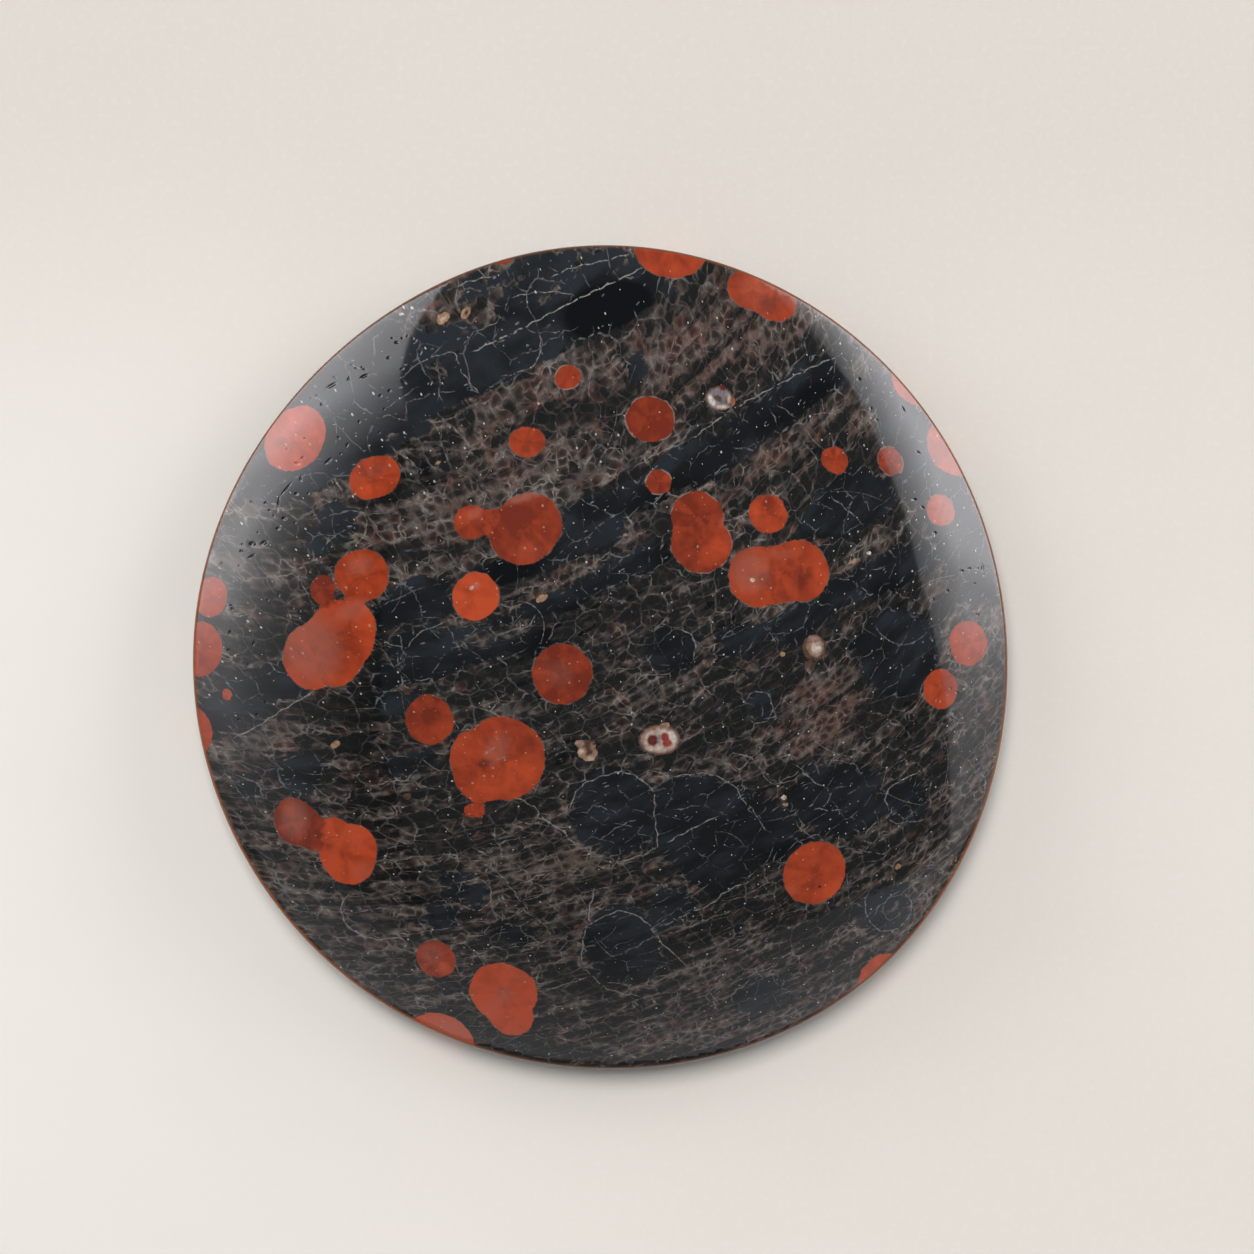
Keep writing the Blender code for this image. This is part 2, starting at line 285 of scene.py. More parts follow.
# Pale cracks: brightness, then the points that each passes through
CRACKS = [
    (1, [(-6.5, 15), (-3.8, 16.3), (-1.3, 17.6), (0.6, 18.5), (2, 19.2)]),
    (0.8, [(-7.3, 18.2), (-6.5, 18.5), (-5.2, 18.8)]),
    (0.7, [(-4.6, 17.7), (-3.3, 17.95), (-2, 17.95), (-1.2, 17.7)]),
    (0.8, [(-2.7, 18.6), (-1.7, 19.1), (0, 19.5), (1.4, 19.9)]), (0.7, [(-2.8, 19.3), (-2.1, 18.85)]),
    (0.6, [(-6, 17.6), (-4.8, 17.2)]), (0.6, [(-5.1, 17), (-5.2, 16.5), (-6.3, 16), (-7, 15.2)]),
    (0.6, [(-5.2, 16.5), (-5.3, 15.5), (-4, 16.1)]),
    (0.6, [(-3.9, 16.2), (-3.3, 16), (-1.6, 16.1), (-1.2, 16.3)]),
    (0.7, [(-3.2, 16), (-3.05, 15.5), (-3.3, 14.5), (-4, 14.1), (-5.1, 13.8)]),
    (0.6, [(-2, 16.1), (-1.95, 15.4)]), (0.6, [(-8.6, 14.7), (-7.7, 15.5)]),
    (0.6, [(-10.9, 12.1), (-9, 13.4)]),
    (0.7, [(-9.6, 14.1), (-8.6, 14.7), (-7.3, 15), (-7, 14.2), (-6, 12.9)]),
    (0.6, [(-8.3, 14.6), (-8, 13.8), (-8.1, 12.5)]),
    (0.8, [(4.2, 10.7), (6.3, 12.2), (8.3, 13.3), (9.8, 14.1), (11.6, 14.9)]),
    (0.7, [(8.2, 14.3), (8.4, 13.4)]), (0.6, [(8.3, 12.6), (9.5, 11.8)]), (0.6, [(8.1, 12.4), (8.6, 11.3)]),
    (0.6, [(6.6, 12.1), (6.9, 11.5)]), (0.6, [(9.8, 11.4), (10.3, 10.7), (10.9, 10.2)]),
    (0.6, [(10, 12), (12, 12.1)]), (0.6, [(1.2, 9.2), (2.7, 10.1), (4.2, 10.7)]),
    (0.7, [(11, 8.1), (12.3, 7), (12.7, 6.6)]), (0.6, [(11.3, 4), (12.2, 3.8), (13.1, 3.1)]),
    (0.6, [(12, 4.6), (12.9, 4.3), (12.5, 3.6)]), (0.6, [(12.9, 4.3), (14, 4.6)]),
    (0.6, [(10.1, 2.3), (9.7, 1.4)]), (0.6, [(-14, 6.4), (-13.5, 5.8), (-13.5, 5.3)]),
    (0.6, [(-14, 6.8), (-12.8, 7.2), (-11.8, 7.2), (-11.6, 6.4), (-12, 5.7), (-12.5, 5.4)]),
    (0.7, [(-11, 1), (-9.7, 0.6), (-9, 1.3), (-7.5, 1.9)]),
    (0.6, [(-9.7, 0.6), (-9.9, -0.2), (-9.8, -1.2), (-9.2, -1.6)]),
    (0.6, [(-7.7, 1.8), (-7.1, 0.6), (-6.9, 0.3)]),
    (0.7, [(3.4, 1.5), (4.2, 1.3), (4.5, 0.6), (4.2, -0.5)]), (0.6, [(2, 0.3), (2.4, -0.4), (2.7, -0.9)]),
    (0.6, [(6.8, -2.2), (7.2, -1.7), (7.9, -1.6), (8.3, -2.3), (8, -3), (7.4, -3.1), (7, -2.7)]),
    (0.8, [(-4.6, -6.6), (-3.4, -7.2), (-2.9, -7.8), (-2, -8.4), (-1.2, -9.3)]),
    (0.6, [(-5.1, -8.4), (-4.1, -8), (-2.5, -8.15)]),
    (0.7, [(-6.1, -9.9), (-5.4, -10.2), (-4.7, -10.9), (-4.2, -11.6), (-3.4, -12.5)]),
    (0.6, [(-6.1, -9.2), (-5.5, -9.5), (-5.2, -10.4)]),
    (0.7, [(-4.4, -11.1), (-3.5, -10.75), (-2.6, -10.3)]),
    (0.6, [(-3.4, -10.8), (-2.9, -11.3), (-3.4, -11.7), (-4, -11.7)]),
    (0.6, [(-5, -12.9), (-4, -13), (-3.4, -12.6)]),
    (0.6, [(-8.9, -12), (-7.9, -11.8), (-7.2, -11.9), (-6.3, -12.3)]),
    (0.8, [(-1.7, -7.5), (-1.2, -6.3), (0, -5.7), (1.2, -5.55), (2.4, -6.4), (2.5, -7.6), (2.65, -8.9),
           (2.3, -9.4), (0.5, -10)]),
    (0.6, [(-0.3, -8.9), (0.9, -8.1), (1.8, -7.8)]), (0.6, [(-0.7, -7.1), (0.2, -7.3), (0.9, -7.7)]),
    (0.7, [(2.2, -5.7), (3.5, -5.7), (5.2, -5.6), (6.5, -6.3), (6.8, -6.9), (7.2, -7.2), (7.9, -8.3)]),
    (0.6, [(3.3, -7.4), (4.8, -7.1)]), (0.8, [(3, -9), (4.5, -8.2), (5.7, -7.6)]),
    (0.7, [(9.2, -5), (9.8, -5.5), (10.2, -5.9), (11, -6.4), (11, -7), (10.5, -7.3), (11.9, -7.4)]),
    (0.6, [(11, -4.9), (12.2, -5.1), (12.7, -5.7)]), (0.6, [(11, -6.4), (12, -6.15)]),
    (0.7, [(15.8, -5.3), (14.8, -5.8), (14, -6.3), (13.8, -6.9), (14.1, -7.5), (13.2, -8.1), (12.7, -8.7)]),
    (0.6, [(14.1, -7.5), (14.2, -8), (16, -7.8)]), (0.6, [(12.4, -8.9), (13.5, -8.9), (14, -8.3)]),
    (0.6, [(11.7, -9.2), (12.5, -9.3), (13.5, -9.5), (14, -9.3), (13.9, -8.6)]),
    (0.6, [(9.3, -7.8), (9.8, -8.4), (10.5, -8.85)]), (0.6, [(8.7, -7.9), (9.7, -7.3)]),
    (0.7, [(13, -11.3), (12.8, -12), (13.1, -12.9), (13.8, -13.3), (14.7, -12.9), (15.1, -12),
           (14.6, -11.3)]),
    (0.6, [(13.1, -12.7), (13.6, -12), (14.6, -11.2)]),
    (0.8, [(-1.1, -15), (-1, -14), (-0.8, -13.1), (0, -12.6), (0.9, -12.3), (1.9, -12.7), (2.4, -13.2),
           (2.9, -13.9), (3.8, -14.7), (4.1, -15.1)]),
    (1, [(-0.65, -13), (-0.7, -12.3), (-0.4, -11.2)]),
    (0.7, [(-1.1, -15), (-0.5, -15.5), (0, -16), (0.8, -16.3), (2, -16.5)]),
    (0.6, [(-3, -16.3), (-2.2, -16), (-0.6, -15.5)]),
    (0.8, [(2.8, -13.1), (4.2, -12.4), (5.2, -12), (6.1, -11.3), (7.3, -10.8)]),
    (0.6, [(3, -13.5), (4.6, -12.9), (6.5, -12.2)]), (0.6, [(0.3, -14.6), (1.5, -14.1), (2.8, -13.3)]),
    (0.8, [(-12.3, -11.3), (-12.8, -12), (-12.6, -12.9), (-11.8, -13.5), (-10.9, -13.7), (-10, -13.6),
           (-9.5, -14)]),
    (0.6, [(5, -16.1), (5.4, -16.5), (5.7, -17)]), (0.6, [(6, -16), (7.5, -15.3), (8.5, -15)]),
    (0.6, [(6, -16.6), (7.3, -15.6)]), (0.6, [(8.1, -15.2), (8.6, -16)]), (0.6, [(8.2, -16.4), (8.7, -17)]),
    (0.8, [(-18.2, -3.9), (-17, -3.3), (-15.9, -2.6), (-14.9, -2), (-14, -1.45)]),
    (0.5, [(-16.9, -3.4), (-16.5, -4), (-16.1, -4.6), (-16.3, -5.3)]),
    (0.5, [(-18, -5), (-17.2, -5.4), (-16.4, -5.9)]),
    (0.7, [(-7.15, -11.5), (-6.9, -10.95), (-6.3, -10.75), (-5.75, -10.9), (-5.5, -11.35), (-5.55, -11.9),
           (-6.1, -12.25), (-6.7, -12.15), (-7.15, -11.5)]),
    (0.6, [(-8.4, -11.8), (-7.6, -11.75), (-7.15, -11.9), (-6.6, -12.2)]),
    (0.6, [(2.5, -6.5), (2.9, -6.3), (3.3, -6.5)]),
    (0.6, [(5.9, -5), (6.4, -4.6), (7.3, -4.9), (7.9, -5.7), (8.3, -6.1), (9.2, -5.7), (9.9, -5.3)]),
    (0.6, [(9, -4.4), (9.4, -5.1), (10.1, -5.7)]),
]

# Short cracks between them: how many, and how far from the middle they may start and end
SMALL_CRACKS = 110
SMALL_CRACK_START = 19.0
SMALL_CRACK_END = 19.3
# How far a listed crack wavers to either side
CRACK_WAVER = 0.035

# Mineral colours of the small vesicles and grains in the glass
WHITE = (0.62, 0.57, 0.52)
CREAM = (0.52, 0.41, 0.34)
ROSE = (0.3, 0.19, 0.155)
LILAC = (0.2, 0.17, 0.185)
TAN = (0.33, 0.2, 0.12)
RUST = (0.3, 0.1, 0.04)
RED = (0.3, 0.05, 0.035)
DARK_RED = (0.13, 0.022, 0.02)
UMBER = (0.09, 0.05, 0.035)
HOLE = (0.02, 0.014, 0.012)

# Small coloured dabs, laid one over the other: (x, y, half width, half height, tilt in degrees, colour)
DABS = [
    # Vesicle with two red lobes in a cream ring
    (2.75, -3.93, 1.04, 0.76, 0, UMBER), (2.76, -3.93, 0.94, 0.67, 0, ROSE),
    (2.8, -3.95, 0.8, 0.55, 0, CREAM), (3.35, -3.8, 0.2, 0.3, 20, WHITE), (2.6, -4.35, 0.5, 0.13, 0, CREAM),
    (3.05, -3.2, 0.2, 0.12, 0, TAN), (2.48, -3.41, 0.09, 0.06, 0, RUST),
    (2.42, -3.95, 0.27, 0.27, 0, DARK_RED), (3.02, -3.8, 0.21, 0.22, 20, RED),
    (3.12, -4.08, 0.24, 0.21, 0, RED), (2.73, -3.87, 0.09, 0.26, 0, LILAC),
    # Irregular vesicle to the left of it
    (-0.8, -4.42, 0.44, 0.52, 30, UMBER), (-1.16, -4.12, 0.22, 0.19, 20, ROSE),
    (-1.04, -4.55, 0.2, 0.27, -20, TAN), (-0.68, -4.82, 0.3, 0.15, 10, TAN),
    (-1.08, -4.52, 0.11, 0.16, 0, CREAM), (-0.66, -4.86, 0.18, 0.08, 10, CREAM),
    (-0.5, -4.2, 0.12, 0.2, -20, TAN), (-0.4, -4.58, 0.13, 0.18, 0, ROSE),
    (-0.52, -3.87, 0.11, 0.09, 20, HOLE), (-0.45, -4.12, 0.09, 0.07, 0, HOLE),
    # Vesicle with a white crescent
    (5.66, 12.76, 0.7, 0.62, 0, UMBER), (5.66, 12.76, 0.58, 0.52, 0, LILAC),
    (5.3, 12.68, 0.13, 0.28, 25, WHITE), (5.8, 12.36, 0.3, 0.08, 0, CREAM),
    (6.15, 12.78, 0.08, 0.18, 0, CREAM), (5.72, 12.98, 0.42, 0.28, -10, LILAC),
    (5.62, 12.76, 0.23, 0.14, -30, UMBER), (5.85, 13.3, 0.15, 0.14, 0, DARK_RED),
    (6.33, 12.66, 0.1, 0.2, 0, RUST),
    # Vesicle with a pale core in a tan halo
    (10.32, 0.58, 0.58, 0.64, 0, UMBER), (10.34, 0.64, 0.4, 0.45, 0, TAN), (10.3, 1, 0.3, 0.16, 0, ROSE),
    (10.42, 0.52, 0.34, 0.4, 0, ROSE), (10.43, 0.58, 0.24, 0.28, 0, CREAM),
    (10.45, 0.62, 0.12, 0.13, 0, WHITE), (10.66, 0.74, 0.11, 0.13, 0, ROSE),
    (10.37, 0.88, 0.05, 0.05, 0, UMBER), (10.1, -0.3, 0.22, 0.3, 20, UMBER),
    (10.05, -0.58, 0.07, 0.15, 25, LILAC),
    # Grains
    (-7.85, 16.7, 0.38, 0.24, 40, TAN), (-6.72, 16.95, 0.2, 0.34, -30, TAN),
    (-7.8, 16.7, 0.16, 0.08, 40, CREAM), (-6.7, 16.98, 0.08, 0.13, -30, HOLE),
    (-9.9, 16.9, 0.11, 0.07, 20, CREAM), (-8.1, 9.6, 0.17, 0.09, 30, TAN),
    (-9.35, 17.2, 0.09, 0.07, 0, CREAM), (8.85, -6.75, 0.15, 0.11, 0, CREAM),
    (8.92, -7.1, 0.13, 0.1, 0, TAN), (8.75, 0.25, 0.14, 0.12, 0, TAN), (-13.1, -4.15, 0.24, 0.18, 20, TAN),
    (14.42, -10.15, 0.16, 0.13, 30, TAN), (11.6, 4.45, 0.26, 0.08, 30, UMBER),
    (12.2, 4.8, 0.28, 0.09, 30, TAN), (13, 5.2, 0.12, 0.09, 0, WHITE), (-3, 3, 0.3, 0.17, 30, TAN),
    (-9.6, -6.7, 0.2, 0.15, 0, UMBER), (-18.35, -2.15, 0.1, 0.09, 0, HOLE),
    (-18.55, -2, 0.09, 0.07, 0, HOLE),
    # Cream spots and marks inside the spherulites
    (7.3, 3.9, 0.14, 0.11, 0, CREAM), (-6.45, 3.5, 0.13, 0.1, 0, CREAM), (-5.6, -4.5, 0.4, 0.05, 35, ROSE),
    (-4.9, -4.8, 0.3, 0.04, 15, ROSE), (10.6, -11.1, 0.07, 0.07, 0, HOLE),
    (-5.2, -3.9, 0.05, 0.04, 0, CREAM), (-12.1, 1.6, 0.05, 0.04, 0, CREAM),
    (2.75, 12.1, 0.05, 0.04, 0, CREAM), (-4.9, 9.9, 0.05, 0.04, 0, CREAM), (8.9, 4.9, 0.05, 0.04, 0, CREAM),
    (-15.4, 11.5, 0.05, 0.05, 0, CREAM), (17.6, 1.3, 0.05, 0.05, 0, CREAM),
]

# Small pits in the polish: (x, y, half length, half width, tilt in degrees, depth)
ROUND_PIT = (0.09, 0.07, 0, 0.02)
SMALL_PIT = (0.08, 0.06, 0, 0.02)
PITS = [
    (-13.3, 13.4, 0.32, 0.08, 30, 0.03), (-13.15, 13.8, 0.1, 0.07, 0, 0.025),
    (-14, 12.9, 0.09, 0.06, 0, 0.02), (-14.3, 12.75, *SMALL_PIT), (-11.7, 13.85, 0.22, 0.07, 25, 0.028),
    (-12.3, 14.4, *ROUND_PIT), (-12.1, 14.25, 0.07, 0.05, 0, 0.02), (-11.7, 14.2, *SMALL_PIT),
    (-10.1, 15.5, 0.1, 0.07, 0, 0.025), (-10.32, 15.72, 0.07, 0.05, 0, 0.02), (-10.5, 14.75, *ROUND_PIT),
    (-10.9, 12.9, *SMALL_PIT), (-10.45, 13.15, *SMALL_PIT), (-13.45, 9.7, 0.2, 0.06, 40, 0.025),
    (-17.15, 5.65, 0.16, 0.12, 0, 0.035), (-16.6, 5.7, 0.18, 0.1, 20, 0.035),
    (-17.2, 5.05, 0.2, 0.05, 30, 0.025), (-18.1, 6.9, *ROUND_PIT), (-18.15, 6.4, *SMALL_PIT),
    (-16.5, 7.65, *ROUND_PIT), (-16.3, 7.3, *SMALL_PIT), (-15.6, 6.9, 0.12, 0.08, 0, 0.028),
    (-15.9, 6.4, 0.1, 0.07, 0, 0.02), (-15, 8.1, 0.1, 0.07, 0, 0.02), (-15.9, 7.6, 0.36, 0.04, 80, 0.018),
    (-15.5, 8.35, 0.4, 0.04, 50, 0.018), (-18.7, 4.7, 0.22, 0.05, 60, 0.02), (-17.7, 5.3, *ROUND_PIT),
    (-17.2, 7.7, *ROUND_PIT), (14.65, 12.25, 0.2, 0.07, 120, 0.025), (12.35, 15.3, *ROUND_PIT),
    (12.5, 13.7, *ROUND_PIT), (18.55, 4.5, 0.22, 0.07, 90, 0.03), (18.8, 4.5, *SMALL_PIT),
    (18.65, 4.15, *SMALL_PIT), (17.9, 4.45, *SMALL_PIT), (18.3, 4.45, *SMALL_PIT),
    (16.2, 6.2, 0.09, 0.06, 0, 0.02), (19.25, 2.85, 0.09, 0.06, 0, 0.02), (18.3, 2.2, *SMALL_PIT),
    (18.8, -2.1, 0.09, 0.06, 0, 0.02), (18.4, -2.6, *SMALL_PIT), (18.2, -2.9, *SMALL_PIT),
    (18.3, 6.4, *SMALL_PIT),
]

# Sectors of the dome with more pits, too small to place one by one: (count, first and last angle from +X,
# nearest and farthest distance from the middle)
PIT_SECTORS = [(48, 118, 172, 14.0, 18.6), (12, 172, 190, 16.5, 18.6), (16, -12, 46, 15.8, 18.6)]

# Shape of the stone


def outline_points(count):
    """x and y of points along the widest line of the stone, before its box is centred."""
    angles = np.arange(count) * 2 * math.pi / count
    radius = np.full(count, DIAMETER / 2)
    for waves, height, crest in OUTLINE_SWELLS:
        radius += height * np.cos(waves * (angles - math.radians(crest)))
    return radius * np.cos(angles), radius * np.sin(angles)


def outline_middle():
    x, y = outline_points(OUTLINE_SIDES)
    return np.array([(x.min() + x.max()) / 2, (y.min() + y.max()) / 2])


# Middle of the stone's box, and its fine outline as points, directions and distances from there
MIDDLE = outline_middle()
EDGE = np.stack(outline_points(EDGE_SIDES), axis=1) - MIDDLE
EDGE_ANGLE = np.unwrap(np.arctan2(EDGE[:, 1], EDGE[:, 0]))
EDGE_REACH = np.hypot(EDGE[:, 0], EDGE[:, 1])


def cap_slope(reach, rise):
    """Slope of a round cap at its edge."""
    return 2 * math.atan2(rise, reach)


def rim_arc():
    """The rim's arc as (inset, height), from the leaning girdle up to the slope of the dome."""
    lean = math.atan2(GIRDLE_TAPER, GIRDLE_TOP - BACK_BEVEL)
    slope = cap_slope(DIAMETER / 2 - GIRDLE_TAPER, THICKNESS - GIRDLE_TOP)
    arc = []
    for step in range(RIM_RINGS + 1):
        tilt = lean + step / RIM_RINGS * (math.pi / 2 - slope - lean)
        inset = GIRDLE_TAPER + RIM_ROUND * (math.cos(lean) - math.cos(tilt))
        arc.append((inset, GIRDLE_TOP + RIM_ROUND * (math.sin(tilt) - math.sin(lean))))
    return arc


RIM_INSET, RIM_HEIGHT = rim_arc()[-1]
CAP_REACH = DIAMETER / 2 - RIM_INSET
CAP_ANGLE = cap_slope(CAP_REACH, THICKNESS - RIM_HEIGHT)
CAP_RADIUS = CAP_REACH / math.sin(CAP_ANGLE)


def reach_at(x, y):
    """Distance from the middle to the outline in the direction of each point."""
    angle = np.mod(np.arctan2(y, x) - EDGE_ANGLE[0], FULL_TURN) + EDGE_ANGLE[0]
    return np.interp(angle, EDGE_ANGLE, EDGE_REACH, period=FULL_TURN)


def cap_height(x, y):
    """Height of the polished dome over each point. Beyond the rim the cap goes on."""
    share = np.hypot(x, y) / (reach_at(x, y) - RIM_INSET)
    sine = np.minimum(share * math.sin(CAP_ANGLE), 0.95)
    return THICKNESS - CAP_RADIUS * (1 - np.sqrt(1 - sine ** 2))


# Listed markings

# The point below the camera
EYE = np.array(FRAME_OFFSET) - MIDDLE


def laid(points):
    """Where on the dome each listed position lies, below the line of sight through it."""
    seen = np.array(points, float).reshape(-1, 2) - MIDDLE
    place = seen
    for _ in range(4):
        lift = cap_height(place[:, 0], place[:, 1]) - BACK_BEVEL
        place = EYE + (seen - EYE) * (1 - lift / EYE_HEIGHT)[:, None]
    return place


def as_seen(x, y, z):
    """The listed position that each point of the stone shows at."""
    growth = EYE_HEIGHT / (EYE_HEIGHT + BACK_BEVEL - z)
    return EYE[0] + (x - EYE[0]) * growth + MIDDLE[0], EYE[1] + (y - EYE[1]) * growth + MIDDLE[1]


def smoothstep(value, low, high):
    share = np.clip((value - low) / (high - low), 0, 1)
    return share * share * (3 - 2 * share)


def smooth_line(points, step):
    """A smooth curve through the points, with a point about every step."""
    points = np.array(points, float)
    padded = np.vstack([2 * points[0] - points[1], points, 2 * points[-1] - points[-2]])
    curve = []
    for before, start, end, after in zip(padded, padded[1:], padded[2:], padded[3:]):
        count = max(1, round(float(np.linalg.norm(end - start)) / step))
        for part in range(count):
            t = part / count
            curve.append(0.5 * (2 * start + (end - before) * t
                                + (2 * before - 5 * start + 4 * end - after) * t ** 2
                                + (3 * start - before - 3 * end + after) * t ** 3))
    curve.append(points[-1])
    return np.array(curve)


def ellipse_distance(x, y, ellipse):
    """Rough distance from a tilted ellipse, negative inside it."""
    cx, cy, half_width, half_height, tilt = ellipse
    turn = math.radians(tilt)
    along = (x - cx) * math.cos(turn) + (y - cy) * math.sin(turn)
    across = (y - cy) * math.cos(turn) - (x - cx) * math.sin(turn)
    return (np.hypot(along / half_width, across / half_height) - 1) * min(half_width, half_height)


def line_distance(x, y, points):
    """Distance from a line of points."""
    nearest = np.full(x.shape, FAR)
    for (ax, ay), (bx, by) in zip(points, points[1:]):
        length = (bx - ax) ** 2 + (by - ay) ** 2
        t = np.clip(((x - ax) * (bx - ax) + (y - ay) * (by - ay)) / length, 0, 1)
        nearest = np.minimum(nearest, np.hypot(x - ax - t * (bx - ax), y - ay - t * (by - ay)))
    return nearest


def area_distance(x, y, outline):
    """Distance from an area's edge, negative inside the area."""
    corners = outline + outline[:1]
    nearest = line_distance(x, y, corners)
    inside = np.zeros(x.shape, bool)
    for (ax, ay), (bx, by) in zip(corners, corners[1:]):
        crosses = (ay > y) != (by > y)
        safe = by - ay if abs(by - ay) > 1e-9 else 1e-9
        inside ^= crosses & (x < ax + (y - ay) * (bx - ax) / safe)
    return np.where(inside, -nearest, nearest)


def glass_share(x, y):
    """How far each place is dark glass, 1, or crackle, 0."""
    nearest = np.full(x.shape, FAR)
    for lens in GLASS_LENSES:
        nearest = np.minimum(nearest, ellipse_distance(x, y, lens))
    for half_width, points in GLASS_BANDS:
        nearest = np.minimum(nearest, line_distance(x, y, points) - half_width)
    for outline in GLASS_AREAS:
        nearest = np.minimum(nearest, area_distance(x, y, outline))
    for lens in CRACKLE_LENSES:
        nearest = np.maximum(nearest, -ellipse_distance(x, y, lens))
    return 1 - smoothstep(nearest, -0.35, 0.45)


def patch_total(x, y, groups, inner, outer):
    """The amounts of all patches at each place. A patch fades from its inner to its outer distance."""
    total = np.zeros(x.shape)
    for amount, patches in groups:
        for patch in patches:
            total += amount * (1 - smoothstep(ellipse_distance(x, y, patch), inner, outer))
    return np.clip(total, -1, 1)


def rim_glow(x, y):
    """How strongly the thin edge glows amber in each direction."""
    degrees, amounts = zip(*RIM_AMBER)
    return np.interp(np.mod(np.degrees(np.arctan2(y, x)), 360), degrees, amounts)


def back_balls():
    """Spherulites that show on the back, at seeded places that keep clear of each other."""
    rng = random.Random(11)
    balls = []
    while len(balls) < BACK_SPHERULITES:
        angle = rng.uniform(0, FULL_TURN)
        away = BACK_REACH * math.sqrt(rng.random())
        radius = rng.choice(BACK_RADII)
        x, y = away * math.cos(angle), away * math.sin(angle)
        tone = rng.uniform(0.1, 0.7)
        if all(math.hypot(x - bx, y - by) > (radius + other) * 0.85 for bx, by, _, other, _, _ in balls):
            balls.append((x, y, rng.uniform(-0.3, 0.5), radius, tone, 0.2))
    return balls


def all_balls():
    """Every spherulite's lobes as (x, y, z, radius, tone, ring)."""
    balls = []
    for lobes, tone, ring in SPHERULITES:
        for x, y, radius in lobes:
            x, y = laid((x, y))[0]
            z = float(cap_height(np.array([x]), np.array([y]))[0])
            balls.append((x, y, z, radius * (1 - (z - BACK_BEVEL) / EYE_HEIGHT), tone, ring))
    return balls + back_balls()


def ball_fields(points):
    """For each point: distance from the nearest spherulite, its tone and ring, and the place in it."""
    distance = np.full(len(points), FAR)
    tone = np.zeros(len(points))
    ring = np.zeros(len(points))
    place = np.zeros((len(points), 3))
    for number, (x, y, z, radius, ball_tone, ball_ring) in enumerate(all_balls()):
        offset = points - np.array([x, y, z])
        away = np.linalg.norm(offset, axis=1) - radius
        nearer = away < distance
        share = np.clip(0.5 + (distance - away) / (2 * LOBE_FILLET), 0, 1)
        distance += (away - distance) * share - LOBE_FILLET * share * (1 - share)
        tone[nearer] = ball_tone
        ring[nearer] = ball_ring
        place[nearer, :2] = offset[nearer, :2] / radius
        place[nearer, 2] = number
    return distance, tone, ring, place


def shade_fields(x, y):
    """The change of tone and the pinkish haze inside the spherulites, the haze in part a painted reflection.
    """
    change = np.zeros(x.shape)
    haze = np.zeros(x.shape)
    for *patch, amount, veil_and_sheen in SHADES:
        away = ellipse_distance(x, y, patch) / min(patch[2], patch[3])
        share = 1 - smoothstep(away, -0.55, 0.3)
        change += amount * share
        haze += veil_and_sheen * share
    return change, haze


def dab_fields(x, y):
    """The small coloured dabs laid one over the other: colour times cover, and cover."""
    paint = np.zeros((len(x), 3))
    cover = np.zeros(len(x))
    for *patch, tint in DABS:
        share = 1 - smoothstep(ellipse_distance(x, y, patch), -0.05, 0.05)
        paint += (np.array(tint) - paint) * share[:, None]
        cover += (1 - cover) * share
    return paint, cover


def all_pits():
    """The listed pits and seeded smaller ones between them."""
    rng = random.Random(17)
    pits = list(PITS)
    for count, first, last, near, far in PIT_SECTORS:
        for _ in range(count):
            angle = math.radians(rng.uniform(first, last))
            away = rng.uniform(near, far)
            half_width = rng.uniform(0.035, 0.055)
            half_length = half_width * rng.choice([1.0, 1.2, 1.8, 2.6])
            x, y = away * math.cos(angle), away * math.sin(angle)
            pits.append((x, y, half_length, half_width, rng.uniform(0, 180), 0.4 * half_width))
    return pits


def pit_depth(x, y):
    depth = np.zeros(len(x))
    for *patch, deep in all_pits():
        away = ellipse_distance(x, y, patch) / patch[3]
        depth = np.maximum(depth, deep * (1 - smoothstep(away, -0.9, 0.35)))
    return depth


def crack_lines():
    """The listed cracks and seeded short curved ones, as (brightness, points)."""
    rng = random.Random(5)
    lines = []
    for brightness, points in CRACKS:
        curve = laid(smooth_line(points, CRACK_STEP))
        phase = rng.uniform(0, 6.28)
        steps = np.arange(len(curve))
        curve[:, 0] += CRACK_WAVER * np.sin(steps * 1.9 + phase)
        curve[:, 1] += CRACK_WAVER * np.sin(steps * 1.5 + phase * 2)
        lines.append((brightness, curve))
    while len(lines) < len(CRACKS) + SMALL_CRACKS:
        angle = rng.uniform(0, FULL_TURN)
        away = SMALL_CRACK_START * math.sqrt(rng.random())
        heading = rng.uniform(0, FULL_TURN)
        bend = rng.choice([-1, 1]) * rng.uniform(0.02, 0.2)
        brightness = rng.uniform(0.25, 0.6)
        point = np.array([away * math.cos(angle), away * math.sin(angle)])
        curve = [point]
        for _ in range(rng.randint(5, 18)):
            heading += bend * rng.uniform(0.2, 1.2)
            point = point + CRACK_STEP * np.array([math.cos(heading), math.sin(heading)])
            if np.hypot(*point) > SMALL_CRACK_END:
                break
            curve.append(point)
        if len(curve) > 3:
            lines.append((brightness, np.array(curve)))
    return lines


# The mesh of the stone


class Sprinkle:
    """Points on the plane that keep a least distance from each other, with a crack brightness at each."""

    CELL = 0.05

    def __init__(self):
        self.points = []
        self.cracks = []
        self.cells = {}

    def add(self, x, y, crack, gap):
        """Adds a point, unless another is nearer than the gap."""
        reach = int(math.ceil(gap / self.CELL))
        column, row = int(math.floor(x / self.CELL)), int(math.floor(y / self.CELL))
        for i in range(column - reach, column + reach + 1):
            for j in range(row - reach, row + reach + 1):
                for number in self.cells.get((i, j), ()):
                    px, py = self.points[number]
                    if (px - x) ** 2 + (py - y) ** 2 < gap ** 2:
                        return
        self.cells.setdefault((column, row), []).append(len(self.points))
        self.points.append((x, y))
        self.cracks.append(crack)


